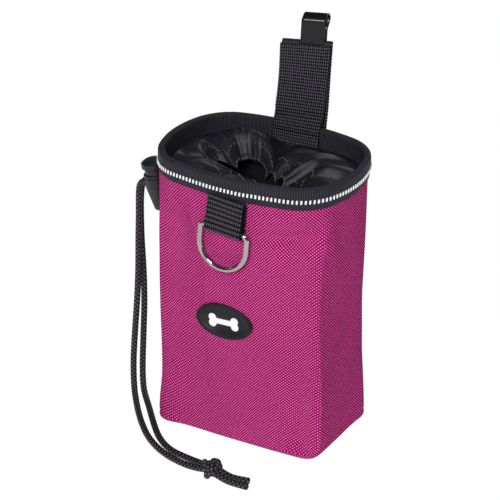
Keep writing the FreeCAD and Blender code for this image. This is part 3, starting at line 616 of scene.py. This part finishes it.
def makeBase():
    # the underside panel, tucked inside the turned edge
    shape = bmesh.new()
    weave = shape.loops.layers.uv.new("weave")
    outline = bmesh.ops.create_circle(shape, cap_ends=True, segments=base["corners"], radius=1.0)["verts"]
    for index, vert in enumerate(outline):
        vert.co = tubPoint(evenTurn(index / base["corners"]), base["height"], base["inset"])[0]
        vert.co.z = base["height"] * mm
    for face in shape.faces:
        for loop in face.loops:
            loop[weave].uv = (loop.vert.co.x / mm, loop.vert.co.y / mm)
    piece = finishPiece("base_cloth", shape, "pouch_cloth", "pouch", ["base_panel"], smooth=False)
    addModifier(piece, "SOLIDIFY", thickness=shell["cloth"] * mm, offset=0.0)


bag = {"inset": -2.1, "low": 4.0, "deep": 147.0, "columns": 200, "rows": 60, "cloth": 0.3}


def makeLining():
    def place(u, v):
        turn = evenTurn(u)
        height = bag["low"] + bag["deep"] * v
        return tubPoint(turn, height, bag["inset"] + wallSag(turn, height))[0]

    shape = wrapGrid(bag["columns"], bag["rows"], place, (rimLength / mm, bag["deep"]), closedColumns=True)
    low = min(vert.co.z for vert in shape.verts)
    floor = [edge for edge in shape.edges if edge.is_boundary and edge.verts[0].co.z < low + 1 * mm]
    bmesh.ops.holes_fill(shape, edges=floor, sides=0)
    piece = finishPiece("lining_bag", shape, "lining_nylon", "pouch", ["lining"])
    addModifier(piece, "SOLIDIFY", thickness=bag["cloth"] * mm, offset=0.0)


# the rim: binding tape folded over the edge, and the row of reflective stitches

rim = {"tape": 0.55, "bottom": 141.5, "crest": 152.4, "outside": 0.75, "inside": -2.5,
       "stitchHeight": 146.0, "stitchPitch": 2.03, "stitchSize": (0.95, 0.5, 2.0), "stitchLean": 0.12,
       "overLoop": 11.5, "swell": 1.15, "stitchSwell": 0.55, "wave": 0.25, "grid": (360, 34), "flat": 26.0}
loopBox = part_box("ring_loop")
loopMiddle = (loopBox[0].x + loopBox[1].x) / 2


def overLoop(x):
    # 1 where the rim crosses the front loop's webbing, 0 beside it
    return math.exp(-((x - loopMiddle) / (rim["overLoop"] * mm)) ** 6)


def rimWave(turn):
    # the rim's slight rise and fall
    return rim["wave"] * mm * noise.noise(Vector((math.cos(turn) * 2.2, math.sin(turn) * 2.2, 4.0)))


def bindingProfile(share):
    # the tape's middle line in section: up outside, over the crest and down inside
    radius = (rim["outside"] - rim["inside"]) / 2
    middle = (rim["outside"] + rim["inside"]) / 2
    shoulder = rim["crest"] - radius * 0.75
    side = shoulder - rim["bottom"]
    arc = math.pi * radius
    length = 2 * side + arc
    along = share * length
    if along < side:
        rise = along / side
        out = rim["outside"] - 0.35 * (1 - rise) ** 2 + 0.15 * math.sin(math.pi * rise)
        return out, rim["bottom"] + along
    if along > side + arc:
        fall = (length - along) / side
        return rim["inside"] - 0.1 * math.sin(math.pi * fall), rim["bottom"] + side * fall
    turn = (along - side) / radius
    return middle + radius * math.cos(turn), shoulder + radius * 0.75 * math.sin(turn)


def makeBinding():
    def place(u, v):
        turn = evenTurn(u)
        out, height = bindingProfile(v)
        if out > -1.0:  # the tape swells over the front loop's webbing
            across = tubPoint(turn, height)[0]
            if across.y < 0 and height < 150:
                out += rim["swell"] * overLoop(across.x) * (1 - (height - rim["bottom"]) / 9)
        wobble = 0.14 * noise.noise(Vector((math.cos(turn) * 5, math.sin(turn) * 5, height * 0.12)))
        spot = tubPoint(turn, height, out + wobble)[0]
        spot.z += rimWave(turn)
        return spot

    shape = wrapGrid(*rim["grid"], place, (rimLength / mm, rim["flat"]), closedColumns=True)
    piece = finishPiece("rim_binding_tape", shape, "binding_tape", "pouch", ["rim_binding"])
    addModifier(piece, "SOLIDIFY", thickness=rim["tape"] * mm, offset=0.0)


def addBlock(shape, size, place):
    # one small thread float: a block with rounded edges
    made = bmesh.ops.create_cube(shape, size=1.0)["verts"]
    bmesh.ops.scale(shape, vec=Vector(size) * mm, verts=made)
    edges = list({edge for vert in made for edge in vert.link_edges})
    rounded = bmesh.ops.bevel(shape, geom=edges, offset=min(size) * 0.36 * mm, affect="EDGES", segments=2,
                              profile=0.5, material=-1)
    verts = list({vert for face in rounded["faces"] for vert in face.verts}
                 | {vert for vert in made if vert.is_valid})
    bmesh.ops.transform(shape, matrix=place, verts=verts)


def makeStitches():
    count = round(rimLength / mm / rim["stitchPitch"])
    shape = bmesh.new()
    for index in range(count):
        turn = evenTurn(index / count)
        spot, outward = tubPoint(turn, rim["stitchHeight"], rim["outside"] + rim["tape"] / 2 + 0.28)
        if spot.y < 0:
            spot += outward * mm * rim["stitchSwell"] * overLoop(spot.x)
        spot.z += rimWave(turn)
        along = Vector((0, 0, 1)).cross(outward)
        lean = rim["stitchLean"] + 0.08 * noise.noise(Vector((index * 1.7, 0, 0)))
        basis = Matrix((along, outward, Vector((0, 0, 1)))).transposed().to_4x4()
        addBlock(shape, rim["stitchSize"], Matrix.Translation(spot) @ basis @ Matrix.Rotation(lean, 4, "Y"))
    finishPiece("reflective_stitches", shape, "reflective_yarn", "pouch", ["reflective_thread"])


# the drawstring collar: nylon that leans in from the binding and ends in a hem, folded into arches

collar = {"columns": 300, "rows": 48, "length": 0.034, "top": 142.4, "inset": -3.3, "mouth": (0.5, 1.0),
          "mouthTurn": -0.5, "mouthSize": (13.0, 2.4), "valleyDrop": 13.0, "hemStart": 0.72, "puckers": 64,
          "cloth": 0.9, "weave": (270.0, 42.0), "lowSeam": 0.97, "seamSteps": 420, "seamLift": 0.55,
          "threadRadius": 0.2, "threadPitch": 2.4, "valleyCurve": 2.4, "lipDrop": 19.6, "puckerRise": 0.16,
          "crease": 0.75, "ripple": 0.6,
          # turn, half width, rise above the binding's edge and how far the hem stands back from the middle
          "arches": [(3.02, 0.26, 2.6, 0.6), (2.3, 0.68, 5.2, 0.42), (1.3, 0.30, 2.4, 0.1),
                     (0.84, 0.24, 3.4, 0.12), (0.42, 0.2, 3.0, 0.2), (0.0, 0.25, 1.8, 0.1),
                     (-0.62, 0.30, 0.5, 0.2), (-1.3, 0.36, 0.0, 0.1), (-2.1, 0.36, 0.0, 0.1),
                     (-2.8, 0.26, 1.0, 0.25)]}


def archAt(turn):
    # 1 on the crest of a fold, falling steeply to 0 in the creases beside it; its rise and stand-back
    best, rise, stand = 0.0, 0.0, 0.0
    for centre, width, height, back in collar["arches"]:
        crest = max(0.0, 1 - (apart(turn, centre) / width) ** 2)
        if crest > best:
            best, rise, stand = crest, height, back
    return best ** 0.6, rise, stand


def collarSpot(turn, v):
    centre = Vector((*collar["mouth"], 0)) * mm
    top = tubPoint(turn, collar["top"], collar["inset"])[0]
    crest, rise, stand = archAt(turn)
    around = turn - collar["mouthTurn"]
    wide, deep = collar["mouthSize"]
    oval = Vector((math.cos(around) * wide, math.sin(around) * deep, 0)) * mm
    inner = centre + Matrix.Rotation(collar["mouthTurn"], 3, "Z") @ oval
    spot = top.lerp(inner, v * (1 - stand * crest))
    valley = -collar["valleyDrop"] * (1 - (1 - v) ** collar["valleyCurve"])
    ridge = rise * math.sin(math.pi * min(v * 1.15, 1.0)) ** 1.1
    ridge -= collar["lipDrop"] * max(0.0, v - 0.5) ** 1.5
    grain = Vector((math.cos(turn) * 9, math.sin(turn) * 9, v * 1.6))
    crease = 1 - 2.4 * abs(noise.noise(grain * 0.9 + Vector((5, 2, 8))))
    ripple = collar["ripple"] * noise.noise(grain) + collar["crease"] * crease
    hem = max(0.0, v - collar["hemStart"]) / (1 - collar["hemStart"])
    pucker = collar["puckerRise"] * math.sin(turn * collar["puckers"] + 3 * noise.noise(grain))
    pucker *= math.sin(math.pi * min(hem, 1.0))
    height = valley * (1 - crest) + ridge * crest + ripple * math.sin(math.pi * min(v * 0.8, 1.0)) + pucker
    spot.z = (collar["top"] + height) * mm
    return spot


def makeCollar():
    def place(u, v):
        return collarSpot(evenTurn(u), v)

    shape = wrapGrid(collar["columns"], collar["rows"], place, collar["weave"], closedColumns=True)
    bmesh.ops.smooth_vert(shape, verts=[vert for vert in shape.verts if not vert.is_boundary], factor=0.5,
                          use_axis_x=True, use_axis_y=True, use_axis_z=True)
    piece = finishPiece("drawstring_collar_cloth", shape, "lining_nylon", "pouch", ["drawstring_collar"])
    addModifier(piece, "SOLIDIFY", thickness=collar["cloth"] * mm, offset=0.0)
    addModifier(piece, "SUBSURF", levels=1, render_levels=1)
    seams = bmesh.new()
    steps, lift = collar["seamSteps"], Vector((0, 0, collar["seamLift"])) * mm
    for share in (collar["lowSeam"], collar["hemStart"]):
        line = Line([collarSpot(evenTurn(step / steps), share) + lift for step in range(steps + 1)])

        def placeThread(u, v, line=line):
            spot, ahead, side = line.read(v)
            around = side * math.cos(u * fullTurn) + ahead.cross(side) * math.sin(u * fullTurn)
            swell = 0.12 * math.cos(fullTurn * v * line.length / mm / collar["threadPitch"])
            return spot + around * (collar["threadRadius"] + swell) * mm

        mergeInto(seams, wrapGrid(6, round(line.length / mm / 0.6), placeThread, (1.0, line.length / mm),
                                  closedColumns=True, closedRows=True))
    stitching = finishPiece("hem_stitching", seams, "label_yarn", "pouch")
    # the hem's thread is paler than the label's
    stitching.data.materials[0] = makePlain("grey_sewing_thread", {"Specular IOR Level": 0.3}, "55535c",
                                            "6a6872", 2500.0, 0.05 * mm, (0.4, 0.5))


# webbing: ribs across the tape, wavy as the yarns interlace

def makeWebbingStrip(name, line, width, thickness, yaw, body=None, replaced=(), stitched=(),
                     ribPitch=web["ribPitch"], relief=web["relief"]):
    # a tape along a line in the YZ plane; yaw(height) turns each cross-section about the upright axis
    length = line.length / mm
    coarse = ribPitch / web["ribPitch"]

    def place(u, v):
        spot, ahead, _ = line.read(v)
        turn = yaw(spot.z / mm)
        across = Vector((math.cos(turn), math.sin(turn), 0))
        normal = across.cross(ahead).normalized()
        offset = (u - 0.5) * width
        along = v * length
        phase = fullTurn * along / ribPitch + web["waviness"] * math.sin(fullTurn * offset / web["wavePitch"])
        edge = min(1.0, (0.5 - abs(u - 0.5)) * width / 0.9)
        held = web["held"] if any(low < along < high for low, high in stitched) else 1.0
        rib = (relief * math.cos(phase) * held - web["sunk"] * (1 - held)) * edge ** 0.5
        bow = 0.25 * math.sin(fullTurn * (along / 37 + offset / 60))
        return spot + (across * offset + normal * (rib + bow)) * mm

    flat = (width, length / coarse)
    shape = wrapGrid(round(width * 1.7), round(length / ribPitch * 8), place, flat)
    piece = finishPiece(name, shape, "webbing", body, replaced)
    addModifier(piece, "SOLIDIFY", thickness=thickness * mm, offset=0.0)
    return piece


strap = {"width": 25.5, "tape": 1.15, "stitched": [(6.5, 9.0), (14.5, 18.5)],
         "front": [(32.4, 141.6), (32.9, 146.5), (33.6, 151.0), (34.9, 155.5), (36.6, 161.0), (38.0, 166.5),
                   (39.6, 174.0), (41.1, 182.5), (42.0, 193.1)],
         "rear": [(40.0, 142.3), (40.2, 149.0), (40.4, 154.0), (41.2, 161.0), (42.0, 170.0), (43.0, 181.0),
                  (44.1, 194.6)],
         "yaw": [(142, 2.5), (151, 4.0), (158, 8.0), (173, 12.0), (194, 18.5)]}


def strapYaw(height):
    stations = strap["yaw"]
    for (low, before), (high, after) in zip(stations, stations[1:]):
        if height <= high:
            share = max(0.0, (height - low) / (high - low))
            return math.radians(before + (after - before) * share)
    return math.radians(stations[-1][1])


def profileLine(pairs):
    return Line(smoothLine([Vector((0, y, z)) * mm for y, z in pairs]))


def makeHanger():
    size = (strap["width"], strap["tape"])
    front = makeWebbingStrip("hanger_webbing_front", profileLine(strap["front"]), *size, strapYaw,
                             replaced=["hanger_tab_inner", "hanger_strap_front"], stitched=strap["stitched"])
    rear = makeWebbingStrip("hanger_webbing_rear", profileLine(strap["rear"]), *size, strapYaw,
                            replaced=["hanger_tab_outer", "hanger_strap_rear"])
    for piece in (front, rear):
        applyModifiers(piece)
        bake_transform(piece)


loopTape = {"tape": 1.15, "width": 20.0, "top": 17.0, "ribPitch": 2.5, "relief": 0.36, "reach": 2.18}


def makeRingLoop():
    # the front loop: a coarse tape folded round the D-ring's bar, its upper end under the binding
    joint = next(joint for joint in frame["joints"] if joint["name"] == "ring_swing")
    reach = loopTape["reach"]
    pairs = [(reach - 0.8, 16.0), (reach - 0.2, 8.0), (reach, 1.5), (reach, -1.4), (1.2, -2.45),
             (-1.2, -2.45), (-reach - 0.1, -1.3), (-reach - 0.1, 1.6), (0.5 - reach, 5.0),
             (1.0 - reach, 9.5), (1.0 - reach, 14.0), (1.5 - reach, loopTape["top"])]
    piece = makeWebbingStrip("ring_loop_webbing", profileLine(pairs), loopTape["width"], loopTape["tape"],
                             lambda height: 0.0, "pouch", ["ring_loop"], ribPitch=loopTape["ribPitch"],
                             relief=loopTape["relief"])
    bar = -Vector(joint["axis"])
    lean = Matrix.Rotation(-math.atan2(bar.z, bar.x), 4, "Y")
    piece.data.transform(Matrix.Translation(Vector(joint["pos_m"])) @ lean)


# the belt clip: one bent steel strip in place of the clip and its spring leg

clip = {"width": 12.0, "steel": 1.0, "offset": 2.75, "rounding": 0.22, "grid": (8, 150),
        "line": [(41.3, 171.5), (42.6, 186.0), (43.35, 196.0), (43.75, 200.5), (44.15, 204.6), (44.3, 205.4),
                 (44.75, 206.0), (46.4, 207.6), (47.6, 208.1), (49.3, 207.4), (50.2, 205.5), (49.2, 203.2),
                 (46.9, 200.6), (46.6, 198.0), (45.6, 186.0), (43.9, 168.0), (43.6, 165.0), (46.0, 158.7)]}


def makeClip():
    line = profileLine(clip["line"])

    def place(u, v):
        spot, ahead, _ = line.read(v)
        turn = strapYaw(min(spot.z / mm, 200.0))
        across = Vector((math.cos(turn), math.sin(turn), 0))
        offset = clip["offset"] + (u - 0.5) * clip["width"]
        return spot + across * offset * mm

    shape = wrapGrid(*clip["grid"], place, (clip["width"], line.length / mm))
    piece = finishPiece("belt_clip_strip", shape, "clip_steel", replaced=["belt_clip", "clip_spring_leg"])
    addModifier(piece, "SOLIDIFY", thickness=clip["steel"] * mm, offset=0.0)
    addModifier(piece, "BEVEL", width=clip["rounding"] * mm, segments=2, limit_method="ANGLE")
    applyModifiers(piece)
    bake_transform(piece)


# the oval label with its border, stitches and bone

label = {"halfWidth": 16.0, "halfHeight": 9.75, "turn": 2.3, "back": -1.5, "front": 0.8, "border": 2.2,
         "recess": 0.5, "stitches": 40, "stitchInset": 1.2, "stitchSize": (1.35, 0.5, 0.3),
         "stitchRise": 0.06, "columns": 120, "flat": (80.0, 6.0)}


def labelFrame():
    low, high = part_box("label_patch")
    slope = math.atan2(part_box("rim_binding")[1].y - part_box("base_panel")[1].y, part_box("rim_binding")[1].z)
    turn = Matrix.Rotation(math.radians(label["turn"]), 4, "Z")
    return Matrix.Translation((low + high) / 2) @ Matrix.Rotation(math.pi / 2 + slope, 4, "X") @ turn


def onLabel(turn, inset, height):
    wide, tall = label["halfWidth"] - inset, label["halfHeight"] - inset
    return Vector((math.cos(turn) * wide, math.sin(turn) * tall, height)) * mm


def makeLabel():
    # moulded rubber: a raised border round a sunk field, with rounded arrises
    front, border = label["front"], label["border"]
    rings = [(0.6, label["back"]), (0.0, label["back"] + 0.3), (0.0, front - 0.35), (0.12, front - 0.12),
             (0.4, front), (border - 0.4, front), (border - 0.1, front - 0.12),
             (border, front - label["recess"])]

    def place(u, v):
        inset, height = rings[round(v * (len(rings) - 1))]
        return onLabel(u * fullTurn, inset, height)

    shape = wrapGrid(label["columns"], len(rings) - 1, place, label["flat"], closedColumns=True)
    bmesh.ops.holes_fill(shape, edges=[edge for edge in shape.edges if edge.is_boundary], sides=0)
    bmesh.ops.transform(shape, matrix=labelFrame(), verts=shape.verts)
    piece = finishPiece("label_rubber_oval", shape, "label_rubber", "pouch", ["label_patch"])
    stitches = bmesh.new()
    for index in range(label["stitches"]):
        turn = fullTurn * index / label["stitches"]
        spot = onLabel(turn, label["stitchInset"], front + label["stitchRise"])
        ahead = onLabel(turn + 0.01, label["stitchInset"], front + label["stitchRise"]) - spot
        heading = Matrix.Rotation(math.atan2(ahead.y, ahead.x), 4, "Z")
        addBlock(stitches, label["stitchSize"], labelFrame() @ Matrix.Translation(spot) @ heading)
    finishPiece("label_stitches", stitches, "label_yarn", "pouch", ["label_thread"])


# cords: the two free strands, their knot and tails, and the run hidden in the hem

cordSize = 3.4 * mm
frontStrand = [
    (-49.82, -5.72, 123.8), (-54.3, -5.72, 123.8), (-62.5, -5.72, 122.65), (-67.0, -5.72, 121.95),
    (-69.0, -5.75, 120.1), (-69.7, -5.9, 117.2), (-69.9, -6.1, 112.2), (-69.8, -6.5, 103.5),
    (-70.1, -7.1, 88.5), (-70.1, -7.8, 71.5), (-70.8, -8.8, 52.5), (-72.0, -10.0, 33.0),
    (-72.6, -10.9, 18.5), (-71.9, -12.2, 8.2), (-69.8, -15.0, 2.7), (-65.6, -20.5, 1.75),
    (-58.0, -30.5, 1.75), (-48.5, -41.6, 1.75), (-37.5, -52.2, 1.75), (-24.5, -60.0, 1.75),
    (-11.5, -63.6, 1.75), (-1.0, -65.0, 2.6), (4.0, -65.7, 4.2),
]
rearStrand = [
    (-49.82, -2.28, 123.8), (-54.3, -2.28, 123.8), (-62.5, -2.28, 122.65), (-67.0, -2.28, 121.95),
    (-69.3, -2.3, 120.1), (-70.3, -2.35, 117.1), (-70.9, -2.5, 112.0), (-71.0, -2.8, 103.0),
    (-70.6, -3.4, 88.0), (-69.4, -3.9, 71.5), (-68.8, -4.6, 52.5), (-69.5, -5.2, 33.5),
    (-69.9, -5.9, 19.0), (-69.3, -7.4, 8.6), (-67.0, -10.4, 2.7), (-63.0, -15.2, 1.75),
    (-54.0, -25.5, 1.75), (-43.6, -38.1, 1.75), (-33.5, -49.0, 1.75), (-23.0, -55.8, 1.75),
    (-11.5, -57.9, 1.75), (-3.0, -59.6, 2.4), (3.0, -62.0, 4.0),
]
frontTail = [(10.6, -66.2, 3.2), (15.2, -66.5, 1.85), (21.0, -66.9, 1.75), (28.2, -66.4, 1.75)]
rearTail = [(10.2, -62.0, 3.2), (14.6, -62.4, 1.85), (20.0, -62.6, 1.75), (26.3, -61.2, 1.75)]


def routeLine(points):
    return Line(smoothLine([Vector(point) * mm for point in points]))


def closeEnds(shape, ease):
    # rounded, heat-sealed ends of a cord
    rims = [edge for edge in shape.edges if edge.is_boundary]
    filled = bmesh.ops.holes_fill(shape, edges=rims, sides=0)["faces"]
    bmesh.ops.inset_region(shape, faces=filled, thickness=ease, depth=ease * 0.6)


def makeCords():
    for side, tail in (("front", frontTail), ("rear", rearTail)):
        shape = makeCord(routeLine(tail), cordSize)
        closeEnds(shape, 0.6 * mm)
        finishPiece(f"cord_tail_{side}_braid", shape, "braided_cord", "pouch",
                                 [f"cord_tail_{side}"])
    knot = makeKnot()
    for side, route in (("front", frontStrand), ("rear", rearStrand)):
        line = routeLine(route)
        shape = makeCord(line, cordSize)
        closeEnds(shape, 0.3 * mm)
        piece = finishPiece(f"cord_strand_{side}_braid", shape, "braided_cord", "pouch",
                            [f"cord_strand_{side}"])
        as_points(line.points)


# each loop's scale and turn
knotShape = {"thickness": 3.3, "steps": 96, "loops": [(1.0, 0.25), (0.62, 1.3)]}


def makeKnot():
    # an overhand knot pulled down in both cords: one closed trefoil over a second, smaller one
    low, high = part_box("cord_knot")
    centre, half = (low + high) / 2, (high - low) / 2
    shape = bmesh.new()
    radius = knotShape["thickness"] * mm / 2
    for scale, spin in knotShape["loops"]:
        points = []
        for step in range(knotShape["steps"] + 1):
            turn = fullTurn * step / knotShape["steps"]
            x = (math.sin(turn) + 2 * math.sin(2 * turn)) / 3
            y = (math.cos(turn) - 2 * math.cos(2 * turn)) / 3
            z = -math.sin(3 * turn)
            spot = Matrix.Rotation(spin, 3, "Z") @ Vector((x, y, z))
            reach = Vector((half.x - radius, half.y - radius, half.z - radius)) * scale
            points.append(centre + Vector((spot.x * reach.x, spot.y * reach.y, spot.z * reach.z * 0.95)))
        mergeInto(shape, makeCord(Line(points), 2 * radius))
    return finishPiece("cord_knot_overhand", shape, "braided_cord", "pouch", ["cord_knot"])


def makeHiddenString():
    # the drawstring inside the collar: in from the eyelet, round the mouth and out
    low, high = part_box("drawstring_loop")
    centre = (low + high) / 2 / mm
    left = low.x / mm
    height = centre.z
    half, middle = 1.72, -4.0  # the two runs to the eyelet: half their spacing, and the line between them
    pairs = [(left, middle + half), (-40, middle + half), (-33, middle + half + 1), (-29.5, middle + 8),
             (-20, middle + 16.5), (0, middle + 18), (20, middle + 16.5), (30, middle + 6), (30, middle - 6),
             (20, middle - 16.5), (0, middle - 18), (-20, middle - 16.5), (-29.5, middle - 8),
             (-33, middle - half - 1), (-40, middle - half), (left, middle - half)]
    line = Line(smoothLine([Vector((x, y, height - (4 if x > -35 else 0))) * mm for x, y in pairs]))
    shape = makeCord(line, cordSize)
    closeEnds(shape, 0.3 * mm)
    finishPiece("drawstring_hidden_run", shape, "braided_cord", "pouch", ["drawstring_loop"])


makeShell()
makeBase()
makeLining()
print("tub made")
makeBinding()
makeStitches()
makeCollar()
print("rim and collar made")
makeHanger()
makeRingLoop()
makeClip()
makeLabel()
print("webbing, clip and label made")
makeCords()
makeHiddenString()
print("cords made")

cadSlots = {
    "d_ring": "ring_nickel", "label_bone": "label_print", "lock_body": "lock_plastic",
    "lock_plunger": "lock_plastic", "lock_spring": "spring_steel", "cord_eyelet": "eyelet_metal",
    "eyelet_washer": "eyelet_metal", "base_board": "board_plastic", "rim_hoop": "hoop_steel",
}
for nodeName, slotName in cadSlots.items():
    mesh = frame["nodes"][nodeName].data
    for index in range(max(1, len(mesh.materials))):
        if index < len(mesh.materials):
            mesh.materials[index] = materials[slotName]
        else:
            mesh.materials.append(materials[slotName])


# floor, light and camera

studio = {"floorSize": 6.0, "floorDrop": 0.0005, "world": 0.07}


def makeStage():
    floorShape = bmesh.new()
    bmesh.ops.create_grid(floorShape, x_segments=1, y_segments=1, size=studio["floorSize"])
    mesh = bpy.data.meshes.new("floor")
    floorShape.to_mesh(mesh)
    floorShape.free()
    floor = link("floor", mesh)
    floor.location.z = -studio["floorDrop"]
    mesh.materials.append(startMaterial("pale_floor", {
        "Base Color": hexColour("303030"), "Roughness": 0.9, "Specular IOR Level": 0.0,
        "Emission Color": hexColour("ffffff"), "Emission Strength": 1.0})[0])


lights = [
    # place, aim, size in metres, power in watts
    ((0.4, -1.34, 1.0), (0, 0, 0.09), 0.5, 20.5),
    ((-1.2, -0.5, 0.7), (0, 0, 0.09), 0.5, 0.3),
    ((0.1, 1.0, 1.3), (0, 0, 0.12), 0.8, 9.0),
]


def makeLights():
    world = bpy.data.worlds.new("studio")
    bpy.context.scene.world = world
    world.use_nodes = True
    background = world.node_tree.nodes["Background"]
    background.inputs["Color"].default_value = hexColour("ffffff")
    background.inputs["Strength"].default_value = studio["world"]
    for index, (place, aim, width, power) in enumerate(lights):
        lamp = bpy.data.lights.new(f"softbox_{index}", "AREA")
        lamp.shape = "DISK"
        lamp.size = width
        lamp.energy = power
        holder = bpy.data.objects.new(f"softbox_{index}", lamp)
        bpy.context.scene.collection.objects.link(holder)
        holder.location = place
        holder.rotation_euler = (Vector(aim) - Vector(place)).to_track_quat("-Z", "Y").to_euler()


camera = {"place": (0.52125, -0.93034, 0.64032), "aim": (-0.00739, -0.00105, 0.09537), "lens": 171.23,
          "sensor": 36.0}


def makeCamera():
    data = bpy.data.cameras.new("camera")
    data.lens = camera["lens"]
    data.sensor_width = camera["sensor"]
    holder = bpy.data.objects.new("camera", data)
    bpy.context.scene.collection.objects.link(holder)
    holder.location = camera["place"]
    heading = Vector(camera["aim"]) - Vector(camera["place"])
    holder.rotation_euler = heading.to_track_quat("-Z", "Y").to_euler()
    bpy.context.scene.camera = holder


makeStage()
makeLights()
makeCamera()
bpy.context.scene.view_settings.view_transform = "Standard"
print("stage ready")
